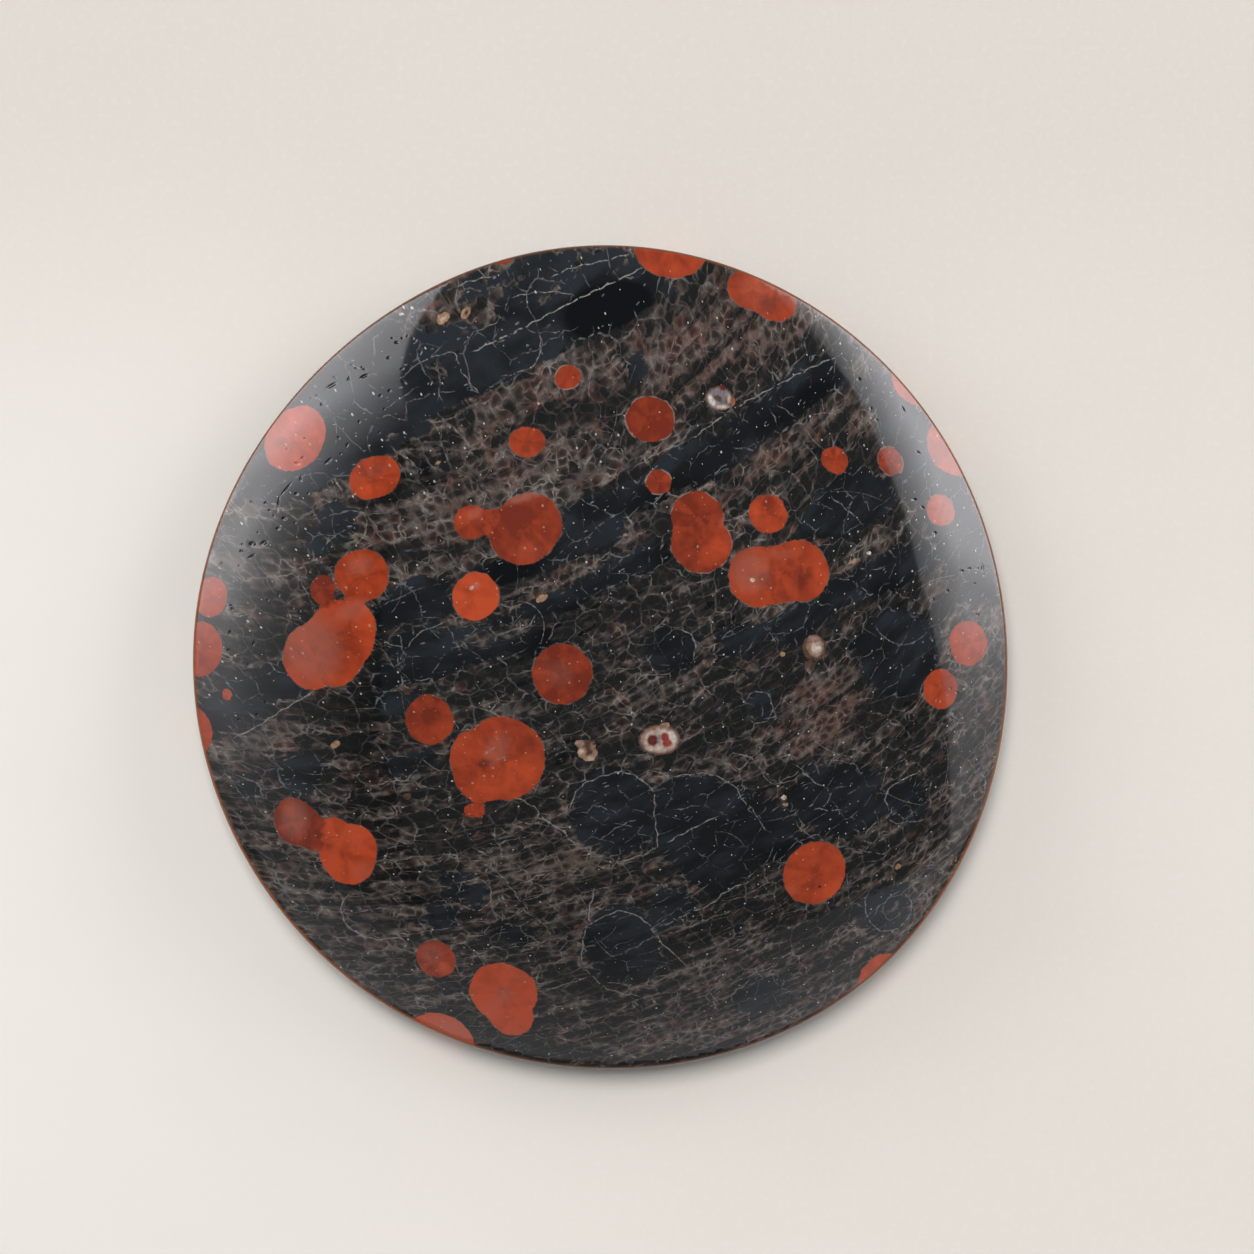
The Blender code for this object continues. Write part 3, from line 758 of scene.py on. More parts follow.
def hex_grid(spacing, half, rng):
    """Jittered points of a triangular grid that covers a square about the origin."""
    rise = spacing * 0.866
    rows = int(half / rise) + 1
    columns = int(half / spacing) + 1
    jitter = spacing * 0.12
    for row in range(-rows, rows + 1):
        for column in range(-columns, columns + 1):
            x = (column + 0.5 * (row % 2)) * spacing
            y = row * rise
            yield x + rng.uniform(-jitter, jitter), y + rng.uniform(-jitter, jitter)


def dome_points(ring):
    """Points of the dome inside its rim ring: cracks first, then fine patches, then an even cover."""
    rng = random.Random(3)
    sprinkle = Sprinkle()
    for x, y in ring:
        sprinkle.add(x, y, 0.0, 0.0)

    def inside(x, y, margin=0.08):
        edge = float(np.interp(math.atan2(y, x), EDGE_ANGLE, EDGE_REACH, period=FULL_TURN))
        return math.hypot(x, y) < edge - RIM_INSET - margin

    sides = []
    for brightness, curve in crack_lines():
        heading = np.gradient(curve, axis=0)
        heading /= np.linalg.norm(heading, axis=1)[:, None] + 1e-9
        count = len(curve)
        for number, ((x, y), (hx, hy)) in enumerate(zip(curve, heading)):
            if not inside(x, y):
                continue
            taper = min(1.0, 0.35 + 0.3 * min(number, count - 1 - number))
            sprinkle.add(x, y, brightness * taper, CRACK_GAP)
            sides.append((x - hy * CRACK_HALF_WIDTH, y + hx * CRACK_HALF_WIDTH))
            sides.append((x + hy * CRACK_HALF_WIDTH, y - hx * CRACK_HALF_WIDTH))
    for x, y in sides:
        if inside(x, y):
            sprinkle.add(x, y, 0.0, CRACK_GAP)

    patches = [(x, y, max(a, b) + 0.12, 0.07) for x, y, a, b, _, _ in DABS]
    patches += [(x, y, max(a, b) + 0.07, 0.034) for x, y, a, b, _, _ in all_pits()]
    for cx, cy, radius, spacing in patches:
        cx, cy = laid((cx, cy))[0]
        for dx, dy in hex_grid(spacing, radius, rng):
            if math.hypot(dx, dy) < radius and inside(cx + dx, cy + dy):
                sprinkle.add(cx + dx, cy + dy, 0.0, spacing * 0.6)
    for x, y in hex_grid(DOME_SPACING, DIAMETER / 2, rng):
        if inside(x, y, 0.12):
            sprinkle.add(x, y, 0.0, DOME_SPACING * 0.5)
    return np.array(sprinkle.points), np.array(sprinkle.cracks)


def ring_at(inset):
    scale = (EDGE_REACH - inset) / EDGE_REACH
    return EDGE * scale[:, None]


def triangulate(points):
    """Triangles between the points, as numbers of the points."""
    vectors = [Vector((float(x), float(y))) for x, y in points]
    corners, _, faces, sources, _, _ = delaunay_2d_cdt(vectors, [], [], 0, 1e-5)
    order = [source[0] for source in sources]
    return [[order[corner] for corner in face] for face in faces]


def dome_relief(x, y):
    """Height of the dome's surface over the true cap: faint waves of hand polishing, and pits."""
    waves = POLISH_WAVE * np.sin(x * 0.9 + 1.3 * np.sin(y * 0.5))
    waves += POLISH_WAVE * np.sin(y * 1.1 + 1.1 * np.sin(x * 0.6))
    fade = smoothstep(reach_at(x, y) - np.hypot(x, y), RIM_INSET, 2.0)
    return (waves - pit_depth(*as_seen(x, y, cap_height(x, y)))) * fade


def stone_mesh():
    """Vertices, faces, crack brightness, finish (0 polished, 1 ground) and sharp rings of the whole stone."""
    arc = rim_arc()
    dome, cracks = dome_points(ring_at(RIM_INSET))
    height = cap_height(dome[:, 0], dome[:, 1]) + dome_relief(dome[:, 0], dome[:, 1])
    vertices = [np.column_stack([dome, height])]
    finish = [np.zeros(len(dome))]
    faces = triangulate(dome)
    count = len(dome)

    rings = [(inset, z, 0.0) for inset, z in reversed(arc[:-1])]
    for step in range(1, GIRDLE_RINGS + 1):
        share = step / GIRDLE_RINGS
        rings.append((GIRDLE_TAPER * (1 - share), GIRDLE_TOP + (BACK_BEVEL - GIRDLE_TOP) * share, 1.0))
    for step in (0.5, 1.0):
        rings.append((BACK_BEVEL * step, BACK_BEVEL * (1 - step), 1.0))

    upper = list(range(EDGE_SIDES))
    sharp = []
    for number, (inset, z, ground) in enumerate(rings):
        ring = ring_at(inset)
        lower = list(range(count, count + EDGE_SIDES))
        vertices.append(np.column_stack([ring, np.full(EDGE_SIDES, z)]))
        finish.append(np.full(EDGE_SIDES, ground))
        for side in range(EDGE_SIDES):
            following = (side + 1) % EDGE_SIDES
            faces.append([upper[side], lower[side], lower[following], upper[following]])
        if number in (len(arc) - 2 + GIRDLE_RINGS, len(rings) - 1):
            sharp.append(lower)
        upper = lower
        count += EDGE_SIDES

    rng = random.Random(8)
    back = [(x, y) for x, y in hex_grid(BACK_SPACING, DIAMETER / 2, rng)
            if math.hypot(x, y) < float(reach_at(np.array([x]), np.array([y]))[0]) - BACK_BEVEL - 0.2]
    flat = np.vstack([ring_at(BACK_BEVEL), np.array(back)])
    names = upper + list(range(count, count + len(back)))
    for face in triangulate(flat):
        faces.append([names[corner] for corner in reversed(face)])
    vertices.append(np.column_stack([np.array(back), np.zeros(len(back))]))
    finish.append(np.ones(len(back)))
    vertices = np.vstack(vertices)
    all_cracks = np.zeros(len(vertices))
    all_cracks[:len(dome)] = cracks
    return vertices, faces, all_cracks, np.concatenate(finish), sharp


def add_field(mesh, name, values):
    """Stores three numbers at each vertex for the material to read."""
    field = mesh.attributes.new(name, "FLOAT_VECTOR", "POINT")
    field.data.foreach_set("vector", np.ascontiguousarray(values, np.float32).ravel())


def add_object(name, data):
    item = bpy.data.objects.new(name, data)
    bpy.context.scene.collection.objects.link(item)
    return item


def make_stone():
    vertices, faces, cracks, finish, sharp = stone_mesh()
    mesh = bpy.data.meshes.new("polished_stone")
    mesh.from_pydata((vertices * MM).tolist(), [], faces)
    mesh.shade_smooth()
    sharp_pairs = {frozenset(pair) for ring in sharp for pair in zip(ring, ring[1:] + ring[:1])}
    bm = bmesh.new()
    bm.from_mesh(mesh)
    for edge in bm.edges:
        if frozenset((edge.verts[0].index, edge.verts[1].index)) in sharp_pairs:
            edge.smooth = False
    bmesh.ops.recalc_face_normals(bm, faces=bm.faces)
    bm.to_mesh(mesh)
    bm.free()

    x, y, z = vertices.T
    distance, tone, ring, place = ball_fields(vertices)
    seen_x, seen_y = as_seen(x, y, z)
    change, haze = shade_fields(seen_x, seen_y)
    depth = np.maximum(cap_height(x, y) - z, 0)
    on_dome = depth < 0.2
    zone_x, zone_y = seen_x + depth * DIP[0], seen_y + depth * DIP[1]
    glass = glass_share(zone_x, zone_y)
    warm = patch_total(zone_x, zone_y, WARM_PATCHES, -0.8, 1.0)
    # These paler and darker places are in part painted light: painted reflection near the rim and a painted
    # lift of the lower side
    pale = patch_total(zone_x, zone_y, PALE_PATCHES_AND_PAINTED_LIGHT, -0.5, 0.8)
    paint, cover = dab_fields(seen_x, seen_y)
    inward = reach_at(x, y) - np.hypot(x, y)
    add_field(mesh, "ball", np.column_stack([distance, tone + change * on_dome, haze * on_dome]))
    add_field(mesh, "place", place)
    add_field(mesh, "zone", np.column_stack([glass, warm, pale]))
    add_field(mesh, "mark", np.column_stack([cracks, cover * on_dome, ring]))
    add_field(mesh, "edge", np.column_stack([inward, finish, rim_glow(x, y)]))
    add_field(mesh, "dab", paint * on_dome[:, None])
    print("stone:", len(mesh.vertices), "vertices,", len(mesh.polygons), "faces")
    return add_object("polished_stone", mesh)


# Materials, with their colours

# Crackle: the bodies of the cells and their walls
GREY_BROWN = (0.06, 0.046, 0.039)
RED_BROWN = (0.084, 0.041, 0.031)
CELL_BLACK = (0.008, 0.0086, 0.0086)
CELL_MIDDLE = (0.01, 0.0098, 0.0096)
CELL_GRAIN = (0.125, 0.106, 0.096)
STREAK_BLACK = (0.0075, 0.008, 0.008)
DULL_WALL = (0.07, 0.063, 0.06)
PALE_WALL = (0.212, 0.189, 0.174)
ROSY_WALL = (0.15, 0.096, 0.08)
TAN_WALL = (0.14, 0.105, 0.078)
# Dark glass
BLACK_GLASS = (0.0055, 0.0068, 0.0082)
CLOUDED_GLASS = (0.0165, 0.0208, 0.0255)
BLUE_GLASS = (0.014, 0.021, 0.036)
DEEP_GLASS = (0.0015, 0.002, 0.003)
GLASS_WALL = (0.13, 0.132, 0.134)
DASH_GREY = (0.16, 0.166, 0.172)
# Spherulites
DULL_RUST = (0.15, 0.019, 0.0075)
BRIGHT_RUST = (0.47, 0.064, 0.019)
# Pinkish haze, in part a painted reflection of the soft boxes and the floor
PINK_HAZE_AND_SHEEN = (0.34, 0.15, 0.115)
PALE_GRAIN = (0.5, 0.27, 0.19)
PALE_RING = (0.34, 0.27, 0.23)
# Cracks, specks that are in part painted glints, and the thin edge
CRACK_GREY = (0.24, 0.228, 0.218)
WHITE_SPECK_AND_GLINT = (0.42, 0.4, 0.38)
# Painted shade of the rounded rim
EDGE_SHADE_BROWN = (0.055, 0.026, 0.016)
AMBER = (0.3, 0.105, 0.04)
GROUND_GREY = (0.26, 0.25, 0.24)


class Graph:
    """Short ways to add nodes to a material. A value may be a number, a tuple or another node's output."""

    def __init__(self, name):
        self.material = bpy.data.materials.new(name)
        self.material.use_nodes = True
        self.tree = self.material.node_tree
        self.shader = self.tree.nodes["Principled BSDF"]

    def link(self, value, socket):
        if isinstance(value, bpy.types.NodeSocket):
            self.tree.links.new(value, socket)
        elif isinstance(value, tuple) and len(value) == 3 and socket.type == "RGBA":
            socket.default_value = (*value, 1.0)
        elif value is not None:
            socket.default_value = value

    def node(self, kind, **settings):
        node = self.tree.nodes.new(kind)
        for name, value in settings.items():
            setattr(node, name, value)
        return node

    def math(self, operation, *values):
        node = self.node("ShaderNodeMath", operation=operation)
        for value, socket in zip(values, node.inputs):
            self.link(value, socket)
        return node.outputs[0]

    def vector(self, operation, *values):
        node = self.node("ShaderNodeVectorMath", operation=operation)
        sockets = [node.inputs[0], node.inputs["Scale"]] if operation == "SCALE" else node.inputs
        for value, socket in zip(values, sockets):
            self.link(value, socket)
        return node.outputs["Value" if operation == "LENGTH" else "Vector"]

    def parts(self, value, kind="XYZ"):
        """The three parts of a vector, or of a colour."""
        node = self.node("ShaderNodeSeparate" + kind)
        self.link(value, node.inputs[0])
        return node.outputs

    def place(self):
        """Where on the object each place is, in millimetres."""
        return self.vector("SCALE", self.node("ShaderNodeTexCoord").outputs["Object"], 1 / MM)

    def stretch(self, value, x, y, z=1.0):
        """The vector, with each part times a factor."""
        return self.vector("MULTIPLY", value, (x, y, z))

    def scaled(self, value, factor, offset):
        """The value times a factor, plus an offset."""
        return self.math("MULTIPLY_ADD", value, factor, offset)

    def field(self, name):
        """The three numbers that the mesh holds under this name, together and then one by one."""
        node = self.node("ShaderNodeAttribute", attribute_type="GEOMETRY", attribute_name=name)
        return node.outputs["Vector"], *self.parts(node.outputs["Vector"])

    def rise(self, value, low, high):
        """0 below low, 1 above high and smooth between them."""
        node = self.node("ShaderNodeMapRange", interpolation_type="SMOOTHSTEP")
        self.link(value, node.inputs["Value"])
        self.link(low, node.inputs["From Min"])
        self.link(high, node.inputs["From Max"])
        return node.outputs[0]

    def fall(self, value, low, high):
        return self.math("SUBTRACT", 1.0, self.rise(value, low, high))

    def mix(self, share, a, b):
        node = self.node("ShaderNodeMix", data_type="RGBA")
        self.link(share, node.inputs[0])
        self.link(a, node.inputs[6])
        self.link(b, node.inputs[7])
        return node.outputs[2]

    def noise(self, place, scale, detail=2.0, roughness=0.5, output=0, dimensions="2D"):
        node = self.node("ShaderNodeTexNoise", noise_dimensions=dimensions)
        self.link(place, node.inputs["Vector"])
        node.inputs["Scale"].default_value = scale
        node.inputs["Detail"].default_value = detail
        node.inputs["Roughness"].default_value = roughness
        return node.outputs[output]

    def swing(self, place, scale, reach, detail=2.0):
        """Noise about 0, of about this reach either way."""
        return self.scaled(self.noise(place, scale, detail), 4 * reach, -2 * reach)

    def warp(self, place, scale, reach, detail=2.0):
        """The place, moved about by noise of this reach."""
        push = self.vector("SUBTRACT", self.noise(place, scale, detail, output=1), (0.5, 0.5, 0.5))
        return self.vector("ADD", place, self.vector("SCALE", push, 2 * reach))

    def cells(self, place, scale, feature="DISTANCE_TO_EDGE"):
        node = self.node("ShaderNodeTexVoronoi", feature=feature, voronoi_dimensions="2D")
        self.link(place, node.inputs["Vector"])
        node.inputs["Scale"].default_value = scale
        node.inputs["Randomness"].default_value = 0.88
        return node

    def net(self, place, scale, width):
        """Thin lines between cells: 1 along a line of this width in millimetres, 0 beside it."""
        edge = self.cells(place, scale).outputs["Distance"]
        return self.fall(edge, width * scale * 0.15, width * scale)

    def specks(self, place, scale, radius, share):
        """Small round dots of differing size in this share of the cells."""
        cells = self.cells(place, scale, "F1")
        lot, size, _ = self.parts(cells.outputs["Color"], "Color")
        away = self.product(cells.outputs["Distance"], self.scaled(size, 1.3, 0.6))
        dot = self.fall(away, radius * scale * 0.6, radius * scale)
        return self.product(dot, self.math("LESS_THAN", lot, share))

    def product(self, *values):
        result = values[0]
        for value in values[1:]:
            result = self.math("MULTIPLY", result, value)
        return result

    def total(self, *values):
        result = values[0]
        for value in values[1:]:
            result = self.math("ADD", result, value)
        return result


# Cells of the finer net to a millimetre
SMALL_CELLS = 2.1


def foam(g, flow):
    """A net of roundish cells drawn out by the flow.

    Returns the drawn out place, the distances from the walls of the large and of the small cells, a number of
    its own for each small cell, and the distance from the cell's middle.
    """
    drawn = g.stretch(flow, 0.85, 1.15)
    bent = g.warp(drawn, 1.5, 0.2, 2.0)
    large = g.cells(bent, 1.0).outputs["Distance"]
    small = g.math("DIVIDE", g.cells(bent, SMALL_CELLS).outputs["Distance"], SMALL_CELLS)
    middles = g.cells(bent, SMALL_CELLS, "F1")
    own = g.parts(middles.outputs["Color"], "Color")[0]
    return drawn, large, small, own, middles.outputs["Distance"]


def crackle_colour(g, place, flow, warm, pale, cells):
    """Brown zones: black and brown cells in streaks along the flow, with pale walls of uneven strength."""
    drawn, large, small, own, away = cells
    streaks = g.noise(g.stretch(flow, 0.11, 1.3, 0.9), 1.0, 3.0, 0.6)
    clumps = g.noise(drawn, 0.9, 3.0, 0.68)
    grain = g.noise(place, 6.0, 2.0, 0.6)
    rosy = g.rise(warm, 0.0, 1.0)
    level = g.total(g.product(streaks, 1.1), g.product(clumps, 0.9), g.product(pale, 0.3))
    level = g.scaled(rosy, 0.14, level)
    body = g.rise(level, 0.82, 1.32)
    red = g.rise(g.total(g.noise(drawn, 0.8, 3.0, 0.65), g.product(warm, 0.12)), 0.5, 0.66)
    brown = g.mix(red, GREY_BROWN, RED_BROWN)
    inside = g.rise(g.total(body, g.scaled(own, 0.9, -0.45)), 0.05, 0.85)
    cell = g.mix(inside, CELL_BLACK, brown)
    coarse = g.scaled(rosy, 0.45, 0.25)
    cell = g.mix(g.product(g.rise(grain, 0.52, 0.72), coarse, body), cell, CELL_GRAIN)
    cell = g.mix(g.product(g.fall(away, 0.12, 0.52), 0.75), cell, CELL_MIDDLE)
    wide = g.rise(g.noise(drawn, 2.2, 2.0), 0.32, 0.68)
    corners = g.rise(g.total(away, g.scaled(wide, 0.3, -0.15)), 0.34, 0.66)
    thin = g.fall(large, g.product(wide, 0.022), g.scaled(wide, 0.048, 0.03))
    tiny = g.fall(small, g.product(wide, 0.01), g.scaled(wide, 0.04, 0.02))
    wall = g.mix(g.rise(clumps, 0.36, 0.66), DULL_WALL, PALE_WALL)
    wall = g.mix(g.product(rosy, 0.55), wall, ROSY_WALL)
    wall = g.mix(g.product(g.fall(warm, -1.0, 0.0), 0.55), wall, TAN_WALL)
    thin = g.product(thin, g.scaled(rosy, -0.6, 1.0))
    share = g.math("MAXIMUM", thin, g.product(tiny, g.scaled(body, 0.55, 0.3)))
    share = g.math("MAXIMUM", g.product(corners, g.scaled(body, 0.4, 0.12)), share)
    lane = g.scaled(g.rise(g.total(streaks, g.product(pale, 0.12)), 0.38, 0.58), 0.7, 0.36)
    cell = g.mix(g.fall(streaks, 0.32, 0.46), cell, STREAK_BLACK)
    return g.mix(g.product(share, g.scaled(grain, 1.9, -0.2), lane), cell, wall)


def glass_colour(g, place, flow, glass, pale, cells):
    """Dark zones: nearly black glass with faint blue clouds, thin walls at their edges, and short dashes."""
    clouds = g.noise(g.stretch(flow, 0.5, 1.2, 0.8), 0.8, 3.0)
    light = g.total(clouds, g.product(pale, 0.3))
    base = g.mix(g.rise(light, 0.34, 0.78), BLACK_GLASS, CLOUDED_GLASS)
    base = g.mix(g.product(g.rise(clouds, 0.6, 0.74), 0.25), base, BLUE_GLASS)
    base = g.mix(g.fall(pale, -0.9, -0.3), base, DEEP_GLASS)
    gaps = g.rise(g.noise(place, 1.5, 4.0, 0.7), 0.42, 0.62)
    plates = g.net(g.warp(g.stretch(flow, 0.7, 1.0), 0.9, 0.32, 4.0), 0.8, 0.03)
    plates = g.product(plates, g.rise(pale, -0.7, -0.1), 0.8)
    near_edge = g.product(g.fall(cells[1], 0.004, 0.055), g.fall(glass, 0.6, 1.0))
    walls = g.product(g.math("MAXIMUM", plates, near_edge), gaps)
    base = g.mix(walls, base, GLASS_WALL)
    dashes = g.specks(g.stretch(flow, 1.0, 4.0, 4.0), 1.4, 0.1, 0.24)
    return g.mix(g.product(dashes, gaps, 0.9), base, DASH_GREY)


def spherulite_colour(g, place, tone, haze, spot):
    """Rust red to orange, with sectors that fan out from the middle, faint mottling and tiny pale grains."""
    x, y, ball = g.parts(spot)
    away = g.math("MAXIMUM", g.vector("LENGTH", g.stretch(spot, 1.0, 1.0, 0.0)), 0.25)
    fan = g.node("ShaderNodeCombineXYZ")
    for value, socket in zip((g.math("DIVIDE", x, away), g.math("DIVIDE", y, away), ball), fan.inputs):
        g.link(value, socket)
    sectors = g.scaled(g.rise(g.noise(fan.outputs[0], 1.1, 2.0, 0.5, 0, "3D"), 0.4, 0.58), 0.22, -0.11)
    mottling = g.swing(place, 1.9, 0.17, 4.0)
    level = g.math("MINIMUM", g.math("MAXIMUM", g.total(tone, sectors, mottling), -0.15), 1.1)
    colour = g.mix(level, DULL_RUST, BRIGHT_RUST)
    # The pinkish haze is in part a painted reflection of the soft boxes and the floor
    colour = g.mix(g.total(haze, 0.02), colour, PINK_HAZE_AND_SHEEN)
    grains = g.specks(place, 2.2, 0.045, 0.3)
    return g.mix(g.product(grains, 0.55), colour, PALE_GRAIN)


def stone_material():
    g = Graph("peanut_obsidian")
    solid = g.place()
    height = g.parts(solid)[2]
    place = g.vector("ADD", solid, g.vector("SCALE", (-DIP[0], -DIP[1], 0.0), height))
    turn = g.node("ShaderNodeVectorRotate", rotation_type="Z_AXIS")
    g.link(place, turn.inputs["Vector"])
    turn.inputs["Angle"].default_value = -FLOW_ANGLE
    flow = turn.outputs[0]

    _, distance, tone, haze = g.field("ball")
    spot, _, _, _ = g.field("place")
    _, glass, warm, pale = g.field("zone")
    _, crack, cover, ring = g.field("mark")
    _, inward, ground, glow = g.field("edge")
    paint, _, _, _ = g.field("dab")

    narrow = g.swing(g.stretch(flow, 0.16, 2.6, 0.9), 1.0, 0.42, 3.0)
    ragged = g.swing(place, 1.8, 0.22, 3.0)
    cells = foam(g, flow)
    own = g.scaled(cells[3], 0.4, -0.2)
    glassy = g.rise(g.total(glass, narrow, ragged, own, g.product(pale, -0.25)), 0.36, 0.62)
    brown = crackle_colour(g, place, flow, warm, pale, cells)
    colour = g.mix(glassy, brown, glass_colour(g, place, flow, glass, pale, cells))

    beads = g.noise(place, 5.0, 2.0)
    lit_crack = g.product(crack, g.scaled(beads, 1.5, 0.1))
    colour = g.mix(g.rise(lit_crack, 0.14, 0.85), colour, CRACK_GREY)
    # White specks, in part painted glints of light off tiny pits in the polish
    specks_and_glints = g.specks(place, 2.0, 0.036, 0.22)
    colour = g.mix(specks_and_glints, colour, WHITE_SPECK_AND_GLINT)

    edge = g.total(distance, g.swing(place, 1.1, 0.045), g.swing(place, 4.0, 0.02))
    halo = g.product(g.fall(edge, 0.0, 0.08), ring, g.rise(ragged, -0.08, 0.1))
    colour = g.mix(halo, colour, PALE_RING)
    colour = g.mix(g.fall(edge, -0.03, 0.02), colour, spherulite_colour(g, place, tone, haze, spot))
    grain = g.noise(place, 4.5, 3.0, 0.65)
    dab_colour = g.vector("SCALE", g.vector("DIVIDE", paint, cover), g.scaled(grain, 1.45, 0.1))
    dabbed = g.rise(g.scaled(grain, 1.5, g.math("SUBTRACT", cover, 0.85)), 0.25, 0.65)
    colour = g.mix(dabbed, colour, dab_colour)

    polished = g.math("SUBTRACT", 1.0, ground)
    amber = g.product(g.fall(inward, 0.15, 0.36), glow, polished)
    # Painted shade: a thin dark brown band where the polished rim rounds over
    rim_with_painted_shade = g.mix(g.product(g.fall(inward, 0.13, 0.3), polished), colour, EDGE_SHADE_BROWN)
    colour = g.mix(amber, rim_with_painted_shade, AMBER)
    colour = g.mix(g.product(ground, 0.12), colour, GROUND_GREY)
    g.link(colour, g.shader.inputs["Base Color"])

    scuffs = g.noise(g.stretch(solid, 1.0, 1.0, 7.0), 3.0, 2.0, 0.5, 0, "3D")
    rough = g.scaled(ground, g.scaled(scuffs, 0.2, 0.22), 0.055)
    g.link(rough, g.shader.inputs["Roughness"])
    g.shader.inputs["IOR"].default_value = 1.49
    bump = g.node("ShaderNodeBump")
    bump.inputs["Distance"].default_value = 0.02 * MM
    g.link(g.product(ground, 0.5), bump.inputs["Strength"])
    g.link(scuffs, bump.inputs["Height"])
    g.link(bump.outputs[0], g.shader.inputs["Normal"])
    return g.material


def floor_material():
    """A plain pale slab with faint clouds, with painted light that makes it a little paler below and to the
    left of the stone.
    """
    g = Graph("pale_slab")
    place = g.place()
    clouds = g.rise(g.noise(g.stretch(place, 0.6, 1.0), 0.05, 3.0, 0.6), 0.3, 0.7)
    grain = g.noise(place, 3.0, 2.0)
    # Painted light: the slab is made paler towards the bottom and towards a place left of the stone
    lower = g.fall(g.parts(place)[1], -2.0, 27.0)
    near = g.fall(g.vector("LENGTH", g.vector("SUBTRACT", place, (-30.0, -8.0, 0.0))), 8.0, 45.0)
    light = g.total(g.product(lower, 0.33), g.product(near, 0.5), g.product(clouds, 0.1))
    colour = g.mix(light, (0.745, 0.7, 0.643), (0.9, 0.868, 0.813))
    colour = g.mix(g.product(g.rise(grain, 0.5, 0.8), 0.15), colour, (0.9, 0.87, 0.82))
    g.link(colour, g.shader.inputs["Base Color"])
    g.shader.inputs["Roughness"].default_value = 0.6
    g.shader.inputs["Specular IOR Level"].default_value = 0.2
    return g.material


def glow_material(name, colour):
    """Light of the strength that the mesh holds as glow."""
    material = bpy.data.materials.new(name)
    material.use_nodes = True
    tree = material.node_tree
    tree.nodes.clear()
    out = tree.nodes.new("ShaderNodeOutputMaterial")
    glow = tree.nodes.new("ShaderNodeEmission")
    glow.inputs["Color"].default_value = (*colour, 1.0)
    strength = tree.nodes.new("ShaderNodeAttribute")
    strength.attribute_name = "glow"
    tree.links.new(strength.outputs["Fac"], glow.inputs["Strength"])
    tree.links.new(glow.outputs[0], out.inputs["Surface"])
    return material


def make_glow(mesh, strengths, colour):
    """Gives a mesh light of this strength at each vertex."""
    field = mesh.attributes.new("glow", "FLOAT", "POINT")
    field.data.foreach_set("value", np.array(strengths, np.float32))
    mesh.materials.append(glow_material(mesh.name, colour))


# Studio, with lengths in metres

LAMP_PLACE = (-0.25, 0.9, 2.0)
LAMP_SIZE = 1.1
LAMP_POWER = 31.0
FLOOR_RADIUS = 2.2
WALL_HEIGHT = 3.0
WALL_GLOW = 0.72
ROUND_SIDES = 96
CARD_HEIGHT = 0.5
CARD_COLUMNS = 28
CARD_ROWS = 40
# Ends of the two soft boxes, as slopes: from the stone, a slope of 1 is 45 degrees off the vertical
BOX_SIDE = 4.2
BOX_FRONT = -1.4
BOX_BACK = 3.6
# Inner edge and strength of each soft box, and how fast the left one fades inward, each by the slope along +Y
LEFT_EDGE = [(-1.4, -0.75), (0.9, -0.8), (1.1, -0.93), (1.5, -1.15), (2, -1.32), (2.9, -1.42), (3.6, -1.6)]
LEFT_GLOW = [
    (-1.4, 0.2), (-0.6, 0.9), (-0.3, 1.4), (0, 1.6), (0.3, 2.9), (0.6, 4.6), (0.95, 5.3), (1.3, 4.9),
    (1.7, 6.9), (1.95, 6.2), (3.6, 6.4),
]
LEFT_FADE = [(-1, 1.2), (0, 1.6), (0.6, 2.5), (0.96, 2), (1.13, 1), (1.54, 0.75), (1.8, 0.6)]
RIGHT_EDGE = [
    (-1.4, 2.45), (-1, 2.25), (-0.5, 1.95), (0, 1.72), (0.4, 1.55), (1, 1.49), (1.6, 1.5), (2, 1.42),
    (2.5, 1.33), (3.6, 1.5),
]
RIGHT_GLOW = [
    (-1.4, 1), (-0.9, 1.1), (-0.3, 1.65), (0, 2.4), (0.3, 4.5), (0.5, 4.9), (0.7, 7.5), (1.4, 8.5),
    (3.6, 6.8),
]


def make_card(name, inner, outer, low, high, glow):
    """A soft box as a level sheet above the stone.

    Its place is in slopes, u along +X and v along +Y, as seen from the stone.
    inner(v) is the inner edge, outer the far edge, low and high the ends in v, and glow(u, v) the strength.
    """
    corners, strengths, faces = [], [], []
    for row in range(CARD_ROWS + 1):
        v = low + (high - low) * row / CARD_ROWS
        for column in range(CARD_COLUMNS + 1):
            share = (column / CARD_COLUMNS) ** 1.5
            u = inner(v) + (outer - inner(v)) * share
            corners.append((u * CARD_HEIGHT, v * CARD_HEIGHT, CARD_HEIGHT))
            strengths.append(glow(u, v))
    for row in range(CARD_ROWS):
        for column in range(CARD_COLUMNS):
            first = row * (CARD_COLUMNS + 1) + column
            above = first + CARD_COLUMNS + 1
            faces.append((first, first + 1, above + 1, above))
    mesh = bpy.data.meshes.new(name)
    mesh.from_pydata(corners, [], faces)
    make_glow(mesh, strengths, (0.985, 0.975, 1.0))
    card = add_object(name, mesh)
    card.visible_camera = False
    card.visible_shadow = False


def between(value, pairs):
    """Straight-line reading of a value from (place, amount) pairs."""
    places, amounts = zip(*pairs)
    return float(np.interp(value, places, amounts))


def left_glow(u, v):
    fade = min(1.0, max(0.0, (-u - 0.75) / 1.6))
    return between(v, LEFT_GLOW) * fade ** between(v, LEFT_FADE)


def right_glow(u, v):
    return between(v, RIGHT_GLOW) * min(1.0, max(0.1, (u - 1.3) / 0.9))


def low_glow(u, v):
    return 0.2 + 0.28 * max(0.0, -v - 1.2) + 0.1 * abs(u) + 0.12 * max(0.0, u)


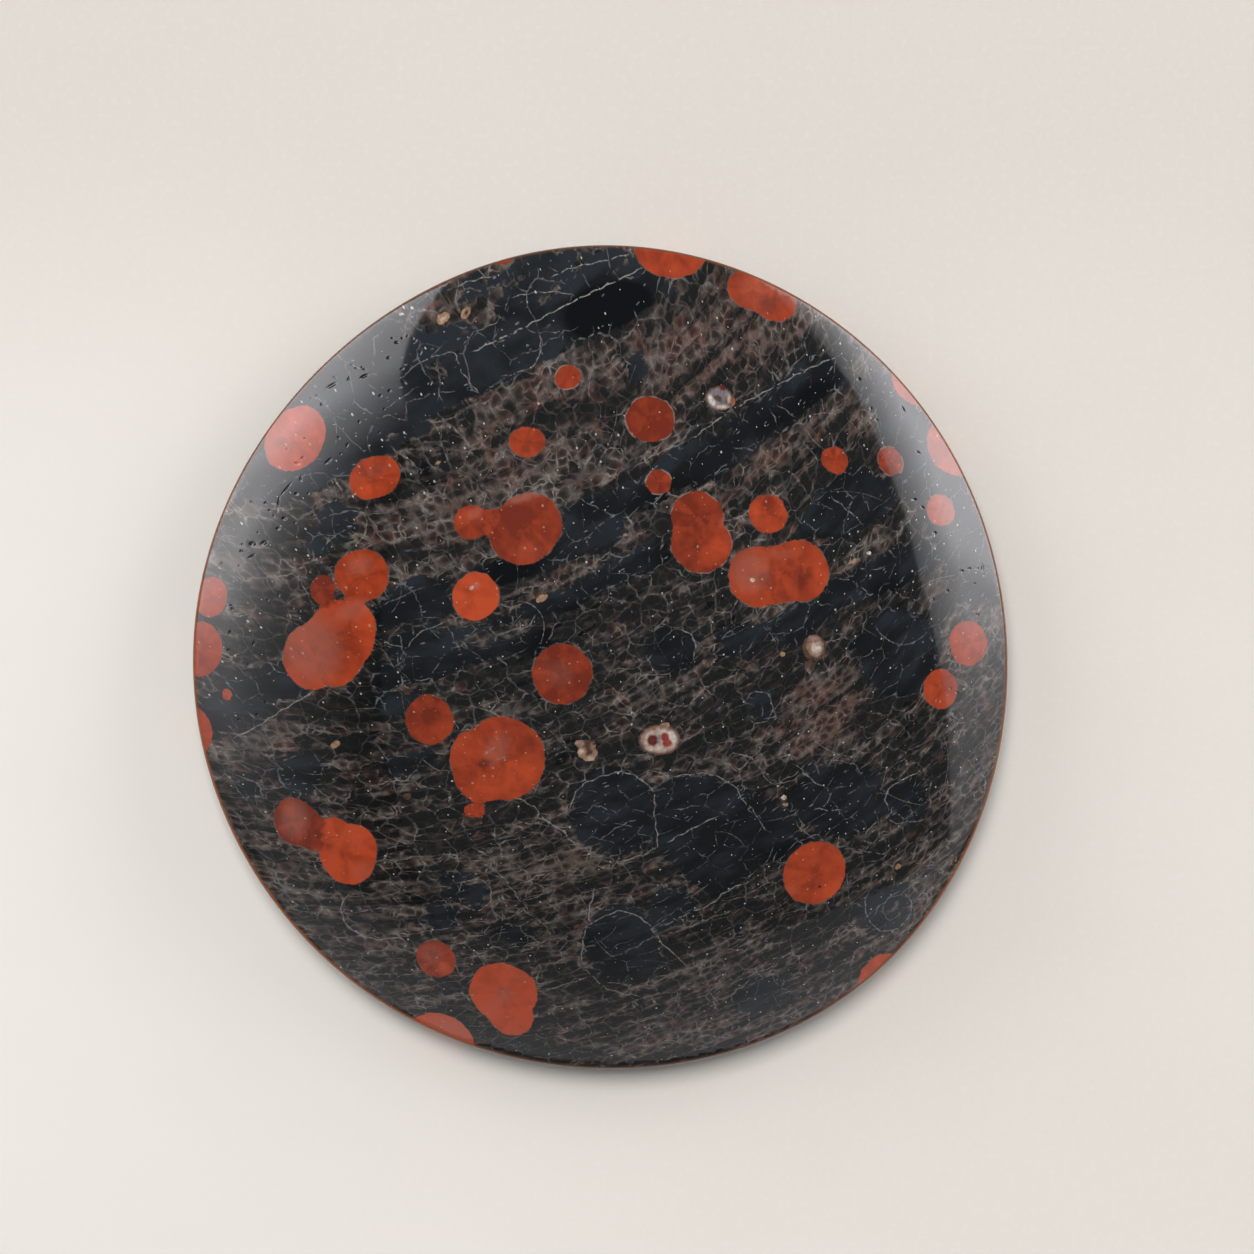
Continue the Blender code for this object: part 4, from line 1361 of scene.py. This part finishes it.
def make_lights():
    """Two soft boxes and a dim card that the dome mirrors, a lamp that it doesn't, and faint light around."""
    make_card("left_box", lambda v: between(v, LEFT_EDGE), -BOX_SIDE, BOX_FRONT, BOX_BACK, left_glow)
    make_card("right_box", lambda v: between(v, RIGHT_EDGE), BOX_SIDE, BOX_FRONT, BOX_BACK, right_glow)
    make_card("front_card", lambda v: -2.6, 2.6, -3.2, -1.2, low_glow)
    lamp_data = bpy.data.lights.new("lamp", "AREA")
    lamp_data.shape = "RECTANGLE"
    lamp_data.size, lamp_data.size_y = LAMP_SIZE, LAMP_SIZE
    lamp_data.energy = LAMP_POWER
    lamp_data.color = (1.0, 0.985, 0.97)
    lamp = add_object("lamp", lamp_data)
    lamp.location = LAMP_PLACE
    lamp.rotation_euler = (-Vector(LAMP_PLACE)).to_track_quat("-Z", "Y").to_euler()
    lamp.visible_glossy = False
    lamp.visible_camera = False
    world = bpy.data.worlds.new("studio")
    world.use_nodes = True
    background = world.node_tree.nodes["Background"]
    background.inputs["Color"].default_value = (0.97, 0.98, 1.0, 1.0)
    background.inputs["Strength"].default_value = 0.14
    bpy.context.scene.world = world


def round_mesh(name, create, **settings):
    """A mesh made by one of the ready-made round shapes."""
    mesh = bpy.data.meshes.new(name)
    bm = bmesh.new()
    create(bm, segments=ROUND_SIDES, **settings)
    bm.to_mesh(mesh)
    bm.free()
    return mesh


def make_floor():
    mesh = round_mesh("floor", bmesh.ops.create_circle, cap_ends=True, radius=FLOOR_RADIUS)
    mesh.materials.append(floor_material())
    disc = add_object("floor", mesh)


def make_backdrop():
    """A pale wall far round the stone, seen only by the camera."""
    mesh = round_mesh("backdrop", bmesh.ops.create_cone, cap_ends=False, radius1=FLOOR_RADIUS,
                      radius2=FLOOR_RADIUS, depth=WALL_HEIGHT)
    make_glow(mesh, [WALL_GLOW] * len(mesh.vertices), (1.0, 0.94, 0.87))
    wall = add_object("backdrop", mesh)
    for rays in ("visible_diffuse", "visible_glossy", "visible_transmission", "visible_shadow"):
        setattr(wall, rays, False)


# Camera


def make_camera():
    """Straight above the stone, with the photograph's up as +Y."""
    data = bpy.data.cameras.new("camera")
    data.lens = LENS
    data.sensor_width = SENSOR
    data.clip_start = 0.01
    data.clip_end = 5.0
    camera = add_object("camera", data)
    camera.location = (EYE[0] * MM, EYE[1] * MM, (BACK_BEVEL + EYE_HEIGHT) * MM)
    bpy.context.scene.camera = camera


def main():
    make_camera()
    stone = make_stone()
    stone.data.materials.append(stone_material())
    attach(stone, "root")
    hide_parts("cabochon")
    make_floor()
    make_backdrop()
    make_lights()
    bpy.context.scene.view_settings.view_transform = "Standard"


main()
